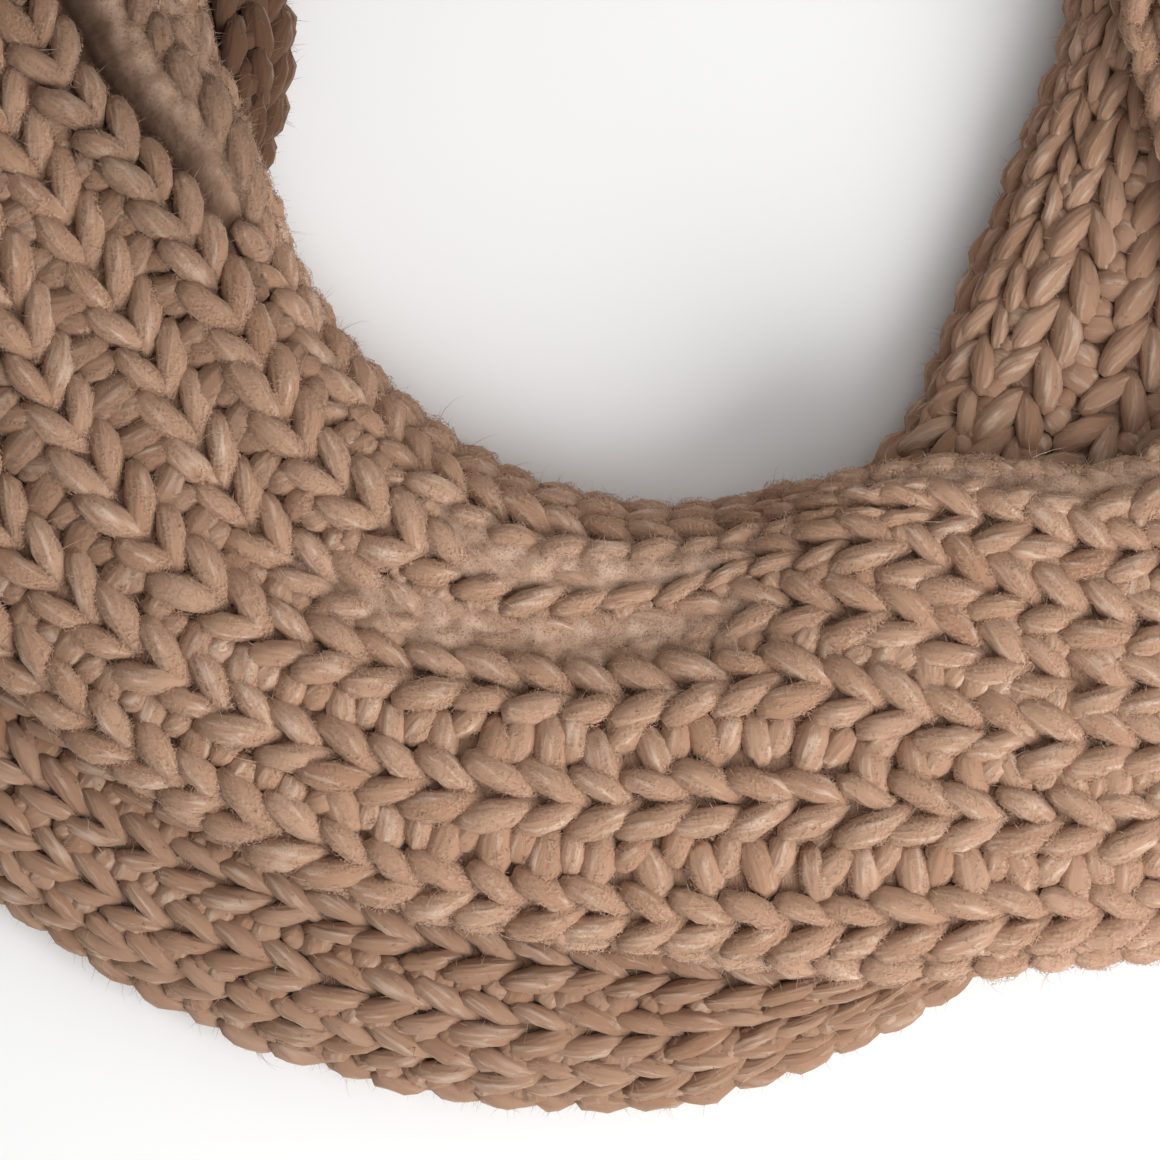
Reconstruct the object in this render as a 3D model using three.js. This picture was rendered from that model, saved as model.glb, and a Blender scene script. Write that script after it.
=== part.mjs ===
// Infinity scarf: a loop of chunky ribbed knit, wound twice round a neck opening and laid flat on a surface.
// Millimetres, +Z up. The origin lies on the surface, under the middle of the scarf's bounding box.
//
// The loop is one band that goes round twice. Its place along the way is the turn, in degrees, counted from
// the bottom of the ring, -Y, towards +X. Each stretch of the band that shows is a solid of its own.
// The folded layers inside a stretch share that solid, which is rounded like the bunched cloth.
import * as THREE from 'three';
import { mergeVertices } from 'three/addons/utils/BufferGeometryUtils.js';

// Driving dimensions
const CLOTH_GAP = 0.3; // between the cut ends of two stretches
const RIB_RELIEF = 2.2; // height of a rib over the recess beside it
const FULL_PITCH = 19; // spacing of open ribs; closer ones stand out less
const STATION_STEP = 4.2; // degrees between two sections
const BACK_STEP = 5; // the same, on the plain far side
const ROLL_RADIUS = 7; // of the cloth's folded edge
const CROWN_POWER = 2.6; // over 2, the section is squarer than an ellipse
const CREASE_WIDTH = 3.2; // half-width of the sharp crease between the first two ribs
const DIP_WIDTH = 11; // half-width of the soft trough
const FOOT_STEP = 2.5; // width of the riser beside a tuck

// One row for each section. turn is in degrees, the rest in millimetres. inner, rib1 to rib7 and outer are
// distances from the ring's centre. crown is the height. dip is the depth of a soft trough along rib4, and
// crease that of a sharp one between rib2 and rib3. Where an edge lies on the stretch beneath, tuckIn or
// tuckOut is how far it overlaps and liftIn or liftOut how high its underside is there.
const BAND_COLUMNS = ['turn', 'inner', 'rib1', 'rib2', 'rib3', 'rib4', 'rib5', 'rib6', 'rib7', 'outer',
  'crown', 'dip', 'crease', 'tuckIn', 'liftIn', 'tuckOut', 'liftOut'];
const WRAP_ROWS = [
  [-105, 82, 84, 94, 108, 123, 139, 156, 171, 179, 44, 2, 9, 17, 20, 22, 26],
  [-90, 84, 86, 93, 106, 121, 137, 155, 171, 178, 45, 2, 12, 16, 20, 22, 26],
  [-75, 83, 84.5, 90, 103, 118, 135, 154, 171, 178, 45, 2, 12, 16, 20, 22, 26],
  [-60, 83, 84, 88, 100.5, 118, 134, 153, 172, 178, 45, 2, 7, 16, 17, 22, 26],
  [-45, 90.5, 91, 93, 104.5, 122, 141, 161, 176, 180.5, 45, 3, 1, 3, 0, 23, 26],
  [-30, 98, 98.8, 101.8, 116, 133, 147, 163, 179, 183, 45, 6, 0, 3, 0, 24, 26],
  [-15, 104.5, 105.2, 110, 124, 134, 144, 163.5, 181.5, 186, 45, 7, 0, 3, 0, 25, 26],
  [0, 109.3, 110, 112, 121.5, 131, 142, 162, 183.5, 188.7, 45, 7, 0, 3, 0, 25, 26],
  [10, 110, 110.6, 112.5, 118.5, 128.5, 142, 165, 188, 195.8, 45, 4, 0, 3, 0, 25, 25],
  [20, 110.5, 111.3, 115, 122.5, 137, 156.5, 175.5, 195.5, 204, 45, 1, 0, 24, 24, 24, 23],
  [30, 115.5, 119, 128, 145, 162, 175, 191, 208.5, 215.5, 44, 0, 0, 28, 25, 6, 4],
  [40, 132, 137, 152, 168, 180, 190.5, 203, 214, 221, 43, 0, 0, 28, 25, 4, 0],
  [50, 138, 143, 156, 169, 181, 192.5, 204, 214.5, 221, 43, 0, 0, 24, 25, 4, 0],
  [60, 116, 120, 134, 149.5, 165, 180, 195, 209.5, 218.5, 44, 1, 0, 28, 25, 4, 0],
  [75, 94, 98, 112.5, 130.5, 149, 168, 186, 204, 216, 45, 2, 0, 30, 25, 4, 0],
  [90, 90, 94, 109, 128, 147.5, 167, 186, 204, 215.5, 44, 3, 0, 29, 25, 4, 0],
  [105, 98, 102, 116, 133.5, 151.5, 169.5, 187.5, 204.5, 216, 43, 3, 0, 24, 25, 4, 0],
  [130, 124, 127, 138, 151.5, 165.5, 180, 194, 208, 218, 40, 3, 0, 14, 26, 4, 0],
  [148, 142.5, 145.5, 155, 166, 177.5, 188.5, 199.5, 210, 219, 36, 2, 0, 6, 28, 4, 0],
  [162, 149.4, 152, 161, 171, 180.5, 190.5, 200.5, 210.5, 219.5, 33, 1, 0, 3, 0, 4, 0],
  [180, 152, 154.5, 163.5, 173, 182.5, 192, 202, 212, 219.5, 30, 1, 0, 3, 0, 4, 0],
  [205, 156, 158.5, 166, 175, 183.5, 193, 202, 211, 218, 25, 0, 0, 3, 0, 4, 0],
  [230, 157.5, 159.5, 165, 172.5, 180, 189.5, 200, 210, 216.5, 24, 0, 0, 3, 0, 4, 0],
  [255, 158.5, 160, 165.5, 171, 177.5, 188, 199.5, 209.5, 216.5, 24, 0, 0, 3, 0, 4, 0],
  [285, 157.5, 159, 164.5, 170.5, 177.5, 188.5, 199.5, 210, 216, 24, 0, 0, 3, 0, 4, 0],
  [315, 160, 161.5, 167, 173.5, 181, 191.5, 202.5, 211.5, 215.5, 24, 0, 0, 3, 0, 4, 0],
  [330, 162, 163.5, 169, 175, 183, 194, 204.5, 212, 216, 24, 0, 0, 3, 0, 4, 0],
  [345, 163.5, 165, 170, 176, 183.5, 192.5, 204.5, 213.5, 218.8, 24, 0, 0, 3, 0, 4, 0],
  [360, 166, 167.5, 172.5, 178.5, 185, 194.5, 205.5, 214, 218.3, 24, 0, 0, 3, 0, 4, 0],
  [370, 173.5, 175, 179, 184, 189.5, 198, 204, 208.5, 211.8, 23, 0, 0, 3, 0, 4, 0],
  [380, 183.5, 184.5, 187, 189.5, 192, 194.5, 197.5, 200, 202.5, 17, 0, 0, 3, 0, 4, 0],
];

// The same band, where it comes out from under the crossing and goes on to the start of the first table.
const STRAP_ROWS = [
  [380, 113.5, 114.5, 116, 118, 119.5, 121, 123, 125, 127, 13, 0, 0, 3, 0, 4, 0],
  [385, 108.5, 109.5, 113, 118, 121.5, 125.5, 129, 131.5, 134, 21, 0, 0, 3, 0, 4, 0],
  [390, 104.5, 105.5, 110, 122.5, 129, 133, 136.5, 139.5, 142, 24, 0, 0, 3, 0, 4, 0],
  [400, 93, 94.5, 99.5, 111, 128, 139, 146, 152.5, 157.5, 24, 0, 0, 3, 0, 4, 0],
  [410, 86.8, 88.3, 93, 103.5, 121, 136, 146, 154, 159.5, 24, 0, 0, 3, 0, 4, 0],
  [420, 83.2, 84.5, 88.8, 98, 112.5, 124, 131.5, 137.5, 141.5, 24, 0, 0, 3, 0, 4, 0],
  [435, 82.3, 83.5, 87.6, 94.5, 102, 108.5, 114, 118.5, 121.5, 24, 0, 0, 3, 0, 4, 0],
  [450, 84, 85.3, 89, 95, 101, 106.5, 111.5, 115, 117.5, 24, 0, 0, 3, 0, 4, 0],
  [465, 86, 87.5, 92, 98, 104, 110, 115, 118.5, 120.5, 24, 0, 0, 3, 0, 4, 0],
  [490, 91, 93, 99, 107, 114, 121, 127, 132, 135.5, 24.5, 0, 0, 3, 0, 4, 0],
  [508, 95, 97, 104, 112, 120, 128, 135, 141.5, 146, 26, 0, 0, 3, 0, 4, 0],
  [522, 97, 99, 106.5, 115, 123.5, 131.5, 138.5, 144.5, 148.7, 28, 0, 0, 3, 0, 4, 0],
  [540, 98, 100, 108, 117, 126, 134.5, 142, 147.5, 151.3, 31, 1, 0, 3, 0, 4, 0],
  [552, 97.5, 99.5, 108, 117.5, 127, 136.5, 145, 150.5, 153.5, 33, 2, 1, 3, 0, 4, 8],
  [566, 95.5, 98, 107, 118, 129, 139.5, 149.5, 157, 161, 36, 2, 2, 3, 0, 7, 27],
  [590, 89, 91, 101, 114, 127, 141, 155.5, 167, 174, 41, 2, 5, 16, 13, 18, 26],
  [615, 82, 84, 94, 108, 123, 139, 156, 171, 179, 44, 2, 9, 17, 20, 22, 26],
];

// The layer of the fold that shows inside the opening at the upper left, under the edge of the band.
const FOLD_COLUMNS = ['turn', 'inner', 'rib1', 'rib2', 'outer', 'crown'];
const FOLD_ROWS = [
  [-130, 90, 92, 97, 100.5, 9],
  [-118, 78, 80.5, 89, 97, 15.5],
  [-100, 69.5, 72, 82, 97.5, 20],
  [-85, 68, 70.5, 81, 98, 20.3],
  [-72, 69, 71.5, 81, 97, 20],
  [-63, 75.5, 77.5, 84, 96.5, 17],
  [-57, 84, 86, 90, 96, 9],
];

// Knit colour: warm tan wool
const YARN = { color: 0xa98468, roughness: 0.95, metalness: 0 };

const radians = (degrees) => THREE.MathUtils.degToRad(degrees);
const smoothstep = (x) => THREE.MathUtils.smoothstep(x, 0, 1);
const bell = (x) => Math.exp(-x * x);

// Turns a table into a function of the turn, which gives each column's value on a smooth curve through the rows.
function tableCurve(columns, rows) {
  const turns = rows.map((row) => row[0]);
  const slope = (k, column) => {
    const before = Math.max(k - 1, 0);
    const after = Math.min(k + 1, rows.length - 1);
    return (rows[after][column] - rows[before][column]) / (turns[after] - turns[before]);
  };
  return (turn) => {
    const found = turns.findIndex((value) => value >= turn);
    const k = found < 0 ? rows.length - 1 : Math.max(found, 1);
    const span = turns[k] - turns[k - 1];
    const x = THREE.MathUtils.clamp((turn - turns[k - 1]) / span, 0, 1);
    const row = {};
    columns.forEach((name, column) => {
      const start = rows[k - 1][column];
      const end = rows[k][column];
      row[name] = (1 + 2 * x) * (1 - x) ** 2 * start + x * (1 - x) ** 2 * span * slope(k - 1, column)
        + x * x * (3 - 2 * x) * end - x * x * (1 - x) * span * slope(k, column);
    });
    return row;
  };
}

// The rib columns of a row, in order from the inner edge.
const ribsOf = (row) => Object.keys(row).filter((name) => name.startsWith('rib')).map((name) => row[name]);

// Height of the cloth's underside at a distance from the centre: flat on the surface, and lifted at a tuck.
function underside(row, radius) {
  const inside = (row.inner + (row.tuckIn ?? 3) - radius) / FOOT_STEP;
  const outside = (radius - row.outer + (row.tuckOut ?? 4)) / FOOT_STEP;
  return Math.max(0, row.liftIn ?? 0) * smoothstep(inside) + Math.max(0, row.liftOut ?? 0) * smoothstep(outside);
}

// The smooth top of a section, from its inner to its outer edge, before the ribs are raised on it.
function topCurve(row) {
  const steps = 160;
  const middle = (row.inner + row.outer) / 2;
  const half = (row.outer - row.inner) / 2;
  const ribs = ribsOf(row);
  const creaseAt = (ribs[1] + (ribs[2] ?? ribs[1])) / 2;
  const points = [];
  for (let k = 0; k <= steps; k += 1) {
    const angle = Math.PI * (1 - k / steps);
    const across = Math.sign(Math.cos(angle)) * Math.abs(Math.cos(angle)) ** (2 / CROWN_POWER);
    const radius = middle + half * across;
    const lift = across < 0 ? (row.liftIn ?? 0) : (row.liftOut ?? 0);
    const edge = lift + Math.min(ROLL_RADIUS, (row.crown - lift) / 2);
    const trough = (row.dip ?? 0) * bell((radius - (ribs[3] ?? radius)) / DIP_WIDTH)
      + (row.crease ?? 0) * bell((radius - creaseAt) / CREASE_WIDTH);
    const rise = (row.crown - edge) * Math.abs(Math.sin(angle)) ** (2 / CROWN_POWER);
    points.push(new THREE.Vector2(radius, edge + rise - trough * Math.abs(Math.sin(angle))));
  }
  return points;
}

// Points of the top with its ribs raised: a crest at each rib, a recess midway, and a point between the two.
function ribbedTop(row) {
  const curve = topCurve(row);
  const reach = [0];
  for (let k = 1; k < curve.length; k += 1) reach.push(reach[k - 1] + curve[k].distanceTo(curve[k - 1]));
  const lengthAt = (radius) => {
    const k = Math.max(1, curve.findIndex((point) => point.x >= radius));
    const share = (radius - curve[k - 1].x) / (curve[k].x - curve[k - 1].x);
    return reach[k - 1] + share * (reach[k] - reach[k - 1]);
  };
  const pointAt = (length, raised) => {
    const k = Math.min(curve.length - 1, Math.max(1, reach.findIndex((value) => value >= length)));
    const along = curve[k].clone().sub(curve[k - 1]).normalize();
    const share = (length - reach[k - 1]) / (reach[k] - reach[k - 1]);
    const place = curve[k - 1].clone().lerp(curve[k], share);
    return place.add(new THREE.Vector2(-along.y, along.x).multiplyScalar(raised));
  };
  const crests = ribsOf(row).map(lengthAt);
  const points = [pointAt(0, 0), pointAt(crests[0] / 2, 0)];
  crests.forEach((crest, k) => {
    points.push(pointAt(crest, RIB_RELIEF * 0.5));
    if (k === crests.length - 1) return;
    const pitch = crests[k + 1] - crest;
    const depth = RIB_RELIEF * Math.min(1, pitch / FULL_PITCH);
    points.push(pointAt(crest + pitch * 0.3, RIB_RELIEF * 0.5 - depth * 0.4));
    points.push(pointAt(crest + pitch * 0.5, RIB_RELIEF * 0.5 - depth));
    points.push(pointAt(crest + pitch * 0.7, RIB_RELIEF * 0.5 - depth * 0.4));
  });
  const last = crests[crests.length - 1];
  const end = reach[reach.length - 1];
  points.push(pointAt((last + end) / 2, 0), pointAt(end - 1e-6, 0));
  return points;
}

// A closed section: the ribbed top, then the plain underside from the outer edge back to the inner one.
function section(row) {
  const top = ribbedTop(row);
  const tuckIn = row.tuckIn ?? 3;
  const tuckOut = row.tuckOut ?? 4;
  const soleIn = row.inner + tuckIn;
  const soleOut = row.outer - tuckOut;
  const sole = [row.outer - 0.12 * tuckOut, soleOut + FOOT_STEP * 1.02, soleOut, (soleIn + soleOut) / 2, soleIn,
    soleIn - FOOT_STEP * 1.02, row.inner + 0.12 * tuckIn];
  const bottom = sole.map((radius) => new THREE.Vector2(radius, underside(row, radius)));
  const corner = bottom[0];
  const first = bottom[bottom.length - 1];
  corner.y += 0.35 * (top[top.length - 1].y - corner.y);
  first.y += 0.35 * (top[0].y - first.y);
  return [...top, ...bottom];
}

// A closed solid through the sections of one stretch of the band, with a flat cut at each end.
function stretchGeometry(curve, from, to, step) {
  const count = Math.ceil((to - from) / step);
  const rings = [];
  for (let k = 0; k <= count; k += 1) {
    const turn = from + ((to - from) * k) / count;
    const angle = radians(turn);
    rings.push(section(curve(turn)).map((point) => new THREE.Vector3(
      point.x * Math.sin(angle), -point.x * Math.cos(angle), point.y)));
  }
  const size = rings[0].length;
  const index = [];
  for (let k = 0; k < count; k += 1) {
    for (let j = 0; j < size; j += 1) {
      const next = (j + 1) % size;
      const a = k * size + j;
      const b = k * size + next;
      index.push(a, b, b + size, a, b + size, a + size);
    }
  }
  for (const [ring, turn, facesOn] of [[0, from, false], [count, to, true]]) {
    const outline = section(curve(turn));
    for (const [a, b, c] of THREE.ShapeUtils.triangulateShape(outline.slice().reverse(), [])) {
      const corner = (k) => ring * size + (size - 1 - k);
      if (facesOn) index.push(corner(a), corner(c), corner(b));
      else index.push(corner(a), corner(b), corner(c));
    }
  }
  const geometry = new THREE.BufferGeometry();
  geometry.setAttribute('position', new THREE.Float32BufferAttribute(
    rings.flat().flatMap((point) => point.toArray()), 3));
  geometry.setIndex(index);
  const merged = mergeVertices(geometry, 1e-4);
  merged.computeVertexNormals();
  return merged;
}

// The angle that leaves the cloth gap between two cut ends, at the band's mean distance from the centre.
const GAP_TURN = THREE.MathUtils.radToDeg(CLOTH_GAP / 85) / 2;

const wrap = tableCurve(BAND_COLUMNS, WRAP_ROWS);
const strap = tableCurve(BAND_COLUMNS, STRAP_ROWS);
const fold = tableCurve(FOLD_COLUMNS, FOLD_ROWS);

// Each stretch that shows, with the turns where it starts and ends.
const STRETCHES = [
  { name: 'front_wrap', curve: wrap, from: -105, to: 24, step: STATION_STEP },
  { name: 'right_wrap', curve: wrap, from: 24, to: 105, step: STATION_STEP },
  { name: 'back_outer_wrap', curve: wrap, from: 105, to: 255, step: BACK_STEP },
  { name: 'lower_wrap', curve: wrap, from: 255, to: 380, step: STATION_STEP },
  { name: 'right_strap', curve: strap, from: 380, to: 465, step: STATION_STEP },
  { name: 'back_inner_wrap', curve: strap, from: 465, to: 615, step: BACK_STEP },
  { name: 'left_under_fold', curve: fold, from: -130, to: -57, step: STATION_STEP },
];

const scarf = new THREE.Group();
for (const { name, curve, from, to, step } of STRETCHES) {
  const geometry = stretchGeometry(curve, from + GAP_TURN, to - GAP_TURN, step);
  const mesh = new THREE.Mesh(geometry, new THREE.MeshStandardMaterial(YARN));
  mesh.name = name;
  scarf.add(mesh);
}

// The ring's centre is moved so that the origin is under the middle of the whole scarf.
const middle = new THREE.Box3().setFromObject(scarf).getCenter(new THREE.Vector3());
scarf.position.set(-middle.x, -middle.y, 0);

export default scarf;
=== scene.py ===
"""Looks of the infinity scarf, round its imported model: knit, fuzz, floor, light and camera.

The scarf is one band of chunky ribbed knit, joined into a loop and wound twice round a neck opening. A place
on the band is a turn, in degrees from the bottom of the ring, and a lane, which counts its ribs outwards.
Each stretch that shows gets a base cloth, its stitches and its fuzz. Lengths in the tables are millimetres.
"""

from __future__ import annotations

import logging
import math
from dataclasses import dataclass
from enum import IntEnum
from typing import Any, Callable, Iterable, Sequence

import bmesh
import bpy
import numpy as np
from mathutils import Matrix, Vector, noise

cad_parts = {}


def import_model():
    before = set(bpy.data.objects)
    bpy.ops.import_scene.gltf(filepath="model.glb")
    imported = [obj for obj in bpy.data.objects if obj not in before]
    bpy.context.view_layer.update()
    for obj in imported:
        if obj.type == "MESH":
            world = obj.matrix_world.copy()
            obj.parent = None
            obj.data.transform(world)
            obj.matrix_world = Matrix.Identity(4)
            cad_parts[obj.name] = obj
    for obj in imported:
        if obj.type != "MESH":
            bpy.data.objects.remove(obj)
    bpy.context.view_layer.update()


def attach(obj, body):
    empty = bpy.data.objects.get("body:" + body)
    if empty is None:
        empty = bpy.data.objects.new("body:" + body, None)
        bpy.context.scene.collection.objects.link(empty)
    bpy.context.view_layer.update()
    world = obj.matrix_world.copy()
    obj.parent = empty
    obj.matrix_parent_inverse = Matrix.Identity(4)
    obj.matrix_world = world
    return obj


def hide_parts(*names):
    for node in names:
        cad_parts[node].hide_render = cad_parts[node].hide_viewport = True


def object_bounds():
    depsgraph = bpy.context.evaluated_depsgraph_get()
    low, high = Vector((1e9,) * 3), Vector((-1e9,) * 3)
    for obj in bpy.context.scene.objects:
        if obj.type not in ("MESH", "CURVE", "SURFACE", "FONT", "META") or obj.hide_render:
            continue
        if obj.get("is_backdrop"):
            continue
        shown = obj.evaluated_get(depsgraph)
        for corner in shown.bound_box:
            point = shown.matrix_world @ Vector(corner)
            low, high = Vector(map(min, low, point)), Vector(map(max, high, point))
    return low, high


LOG = logging.getLogger("infinity_scarf")

MM = 0.001
CENTRE_SHIFT = (0.381, -0.498)  # from the ring's centre to the part's origin
ROLL_RADIUS = 7.0  # of the cloth's folded edge
CROWN_POWER = 2.6  # over 2, the section is squarer than an ellipse
DIP_WIDTH = 11.0  # of the shallow hollow along the middle rib
CREASE_LANE = 1.5
CREASE_WIDTH = 3.2  # of the crease's trough
CREASE_REACH = 0.36  # in lanes, of its painted shade
CREASE_DEEP = 8.0  # depth from which its painted shade is as dark as it gets
FOOT_STEP = 2.5  # width over which the underside rises onto the stretch beneath
WALL_PITCH = 17.0  # spacing of the ribs on the side walls
SHADE_FROM, SHADE_TO = -22, -125  # turns between which the recesses get painted shade, deeper in colour
VEIL_FROM = 0.06  # felting at which matted fibres begin
FLOOR_GAP = 0.1  # least height of a stitch or a fibre
SOLE_GAP = 0.02  # least height of the base cloth
TOP_GAP = 0.05  # the same, of its upper side
VEIL_WALL = 0.6  # thickness of the matted fibres
SEED = 11
READ_BY_YARN = ("strand", "tone", "felt", "shade")  # attributes

# A row holds the turn, the inner edge, the ribs, the outer edge and these. It may leave out the last six.
LAST_COLUMNS = ("crown", "dip", "crease", "tuck_in", "lift_in", "tuck_out", "lift_out")
LEFT_OUT = (0, 0, 3, 0, 4, 0)
WRAP_ROWS = (
    (-105, 82, 84, 94, 108, 123, 139, 156, 171, 179, 44, 2, 9, 17, 20, 22, 26),
    (-90, 84, 86, 100, 116, 129, 142, 157, 171, 178, 45, 2, 12, 16, 20, 22, 26),
    (-75, 83, 84.5, 94, 109.5, 122, 137, 155, 171, 178, 45, 2, 13, 16, 20, 22, 26),
    (-60, 83, 84, 88, 101, 118, 134, 153, 172, 178, 45, 2, 10, 16, 17, 22, 26),
    (-45, 90.5, 91, 93, 104.5, 122, 141, 161, 176, 180.5, 45, 3, 1, 3, 0, 23, 26),
    (-30, 98, 98.8, 101.8, 116, 133, 147, 163, 179, 183, 45, 6, 0, 3, 0, 24, 26),
    (-15, 104.5, 105.2, 112, 124, 134, 144, 163.5, 181.5, 186, 45, 7, 0, 3, 0, 25, 26),
    (0, 109.3, 110, 114.5, 122.5, 131, 142, 162, 183.5, 188.7, 45, 7, 0, 3, 0, 25, 26),
    (10, 110, 110.6, 114, 119.5, 128.5, 142, 165, 188, 195.8, 45, 4, 0, 3, 0, 25, 25),
    (20, 110.5, 111.3, 115, 122.5, 137, 156.5, 175.5, 195.5, 204, 45, 1, 0, 24, 24, 24, 23),
    (30, 115.5, 119, 128, 145, 162, 175, 191, 208.5, 215.5, 44, 0, 0, 28, 25, 6, 4),
    (40, 132, 137, 152, 168, 180, 190.5, 203, 214, 221, 43, 0, 0, 28, 25, 4, 0),
    (50, 138, 143, 156, 169, 181, 192.5, 204, 214.5, 221, 43, 0, 0, 24, 25, 4, 0),
    (60, 116, 120, 134, 149.5, 165, 180, 195, 209.5, 218.5, 44, 1, 0, 28, 25, 4, 0),
    (75, 94, 98, 112.5, 130.5, 149, 168, 186, 204, 216, 45, 2, 0, 30, 25, 4, 0),
    (90, 90, 94, 109, 128, 147.5, 167, 186, 204, 215.5, 44, 3, 0, 29, 25, 4, 0),
    (105, 98, 102, 116, 133.5, 151.5, 169.5, 187.5, 204.5, 216, 43, 3, 0, 24, 25, 4, 0),
    (130, 124, 127, 138, 151.5, 165.5, 180, 194, 208, 218, 40, 3, 0, 14, 26, 4, 0),
    (148, 142.5, 145.5, 155, 166, 177.5, 188.5, 199.5, 210, 219, 36, 2, 0, 6, 28, 4, 0),
    (162, 149.4, 152, 161, 171, 180.5, 190.5, 200.5, 210.5, 219.5, 33, 1, 0, 3, 0, 4, 0),
    (180, 152, 154.5, 163.5, 173, 182.5, 192, 202, 212, 219.5, 30, 1, 0, 3, 0, 4, 0),
    (205, 156, 158.5, 166, 175, 183.5, 193, 202, 211, 218, 25),
    (230, 157.5, 159.5, 165, 172.5, 180, 189.5, 200, 210, 216.5, 24),
    (255, 158.5, 160, 165.5, 171, 177.5, 188, 199.5, 209.5, 216.5, 24),
    (285, 157.5, 159, 164.5, 170.5, 177.5, 188.5, 199.5, 210, 216, 24),
    (315, 160, 161.5, 167, 173.5, 181, 191.5, 202.5, 211.5, 215.5, 24),
    (330, 162, 163.5, 169, 175, 183, 194, 204.5, 212, 216, 24),
    (345, 163.5, 165, 170, 176, 183.5, 192.5, 204.5, 213.5, 218.8, 24),
    (360, 166, 167.5, 172.5, 178.5, 185, 194.5, 205.5, 214, 218.3, 24),
    (370, 173.5, 175, 179, 184, 189.5, 198, 204, 208.5, 211.8, 23),
    (380, 183.5, 184.5, 187, 189.5, 192, 194.5, 197.5, 200, 202.5, 17),
)
STRAP_ROWS = (
    (380, 113.5, 114.5, 116, 118, 119.5, 121, 123, 125, 127, 13),
    (385, 108.5, 109.5, 113, 118, 121.5, 125.5, 129, 131.5, 134, 21),
    (390, 104.5, 105.5, 110, 122.5, 129, 133, 136.5, 139.5, 142, 24),
    (400, 93, 94.5, 99.5, 111, 128, 139, 146, 152.5, 157.5, 24),
    (410, 86.8, 88.3, 93, 103.5, 121, 136, 146, 154, 159.5, 24),
    (420, 83.2, 84.5, 88.8, 98, 112.5, 124, 131.5, 137.5, 141.5, 24),
    (435, 82.3, 83.5, 87.6, 94.5, 102, 108.5, 114, 118.5, 121.5, 24),
    (450, 84, 85.3, 89, 95, 101, 106.5, 111.5, 115, 117.5, 24),
    (465, 86, 87.5, 92, 98, 104, 110, 115, 118.5, 120.5, 24),
    (490, 91, 93, 99, 107, 114, 121, 127, 132, 135.5, 24.5),
    (508, 95, 97, 104, 112, 120, 128, 135, 141.5, 146, 26),
    (522, 97, 99, 106.5, 115, 123.5, 131.5, 138.5, 144.5, 148.7, 28),
    (540, 98, 100, 108, 117, 126, 134.5, 142, 147.5, 151.3, 31, 1, 0, 3, 0, 4, 0),
    (552, 97.5, 99.5, 108, 117.5, 127, 136.5, 145, 150.5, 153.5, 33, 2, 1, 3, 0, 4, 8),
    (566, 95.5, 98, 107, 118, 129, 139.5, 149.5, 157, 161, 36, 2, 2, 3, 0, 7, 27),
    (590, 89, 91, 101, 114, 127, 141, 155.5, 167, 174, 41, 2, 5, 16, 13, 18, 26),
    (615, 82, 84, 94, 108, 123, 139, 156, 171, 179, 44, 2, 9, 17, 20, 22, 26),
)
FOLD_ROWS = (
    (-130, 90, 92, 97, 100.5, 9),
    (-118, 78, 80.5, 89, 97, 15.5),
    (-100, 69.5, 72, 82, 97.5, 20),
    (-85, 68, 70.5, 81, 98, 20.3),
    (-72, 69, 71.5, 81, 97, 20),
    (-63, 75.5, 77.5, 84, 96.5, 17),
    (-57, 84, 86, 90, 96, 9),
)


class Part(IntEnum):
    """The parts of a stitch. Both bumps of a purl stitch share one shape."""

    INNER_LEG = 0
    OUTER_LEG = 1
    BUMP = 2
    SMALL_BUMP = 3


@dataclass(frozen=True)
class FeltPatch:
    """A place where the surface is felted, or where painted shade deepens the colour: its middle, and how
    far it reaches, in turn and lane.
    """

    turn: float
    lane: float
    turn_reach: float
    lane_reach: float
    strength: float

    def at(self, turn: np.ndarray, lane: np.ndarray) -> np.ndarray:
        """Strength of the felting, or of the painted shade, at given places.

        Args:
            turn: turns in degrees.
            lane: lanes.

        Returns:
            Values from 0 to the patch's strength.
        """
        x = (turn - self.turn) / self.turn_reach
        y = (lane - self.lane) / self.lane_reach
        return self.strength * np.exp(-(x**4) - y**4)


WRAP_FELT = (
    FeltPatch(-5, 1.62, 15, 0.42, 0.75),
    FeltPatch(-8, 3.06, 17, 0.46, 0.72),
    FeltPatch(33, -0.4, 14, 0.7, 0.7),
    FeltPatch(-6, 6.85, 36, 0.4, 0.5),
    FeltPatch(-74, 0.2, 20, 1.1, 0.55),
)
WRAP_PAINTED_SHADE = FeltPatch(-80, 0.2, 26, 1.3, 0.45)  # painted shade, deeper in colour, inside the crease


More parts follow.
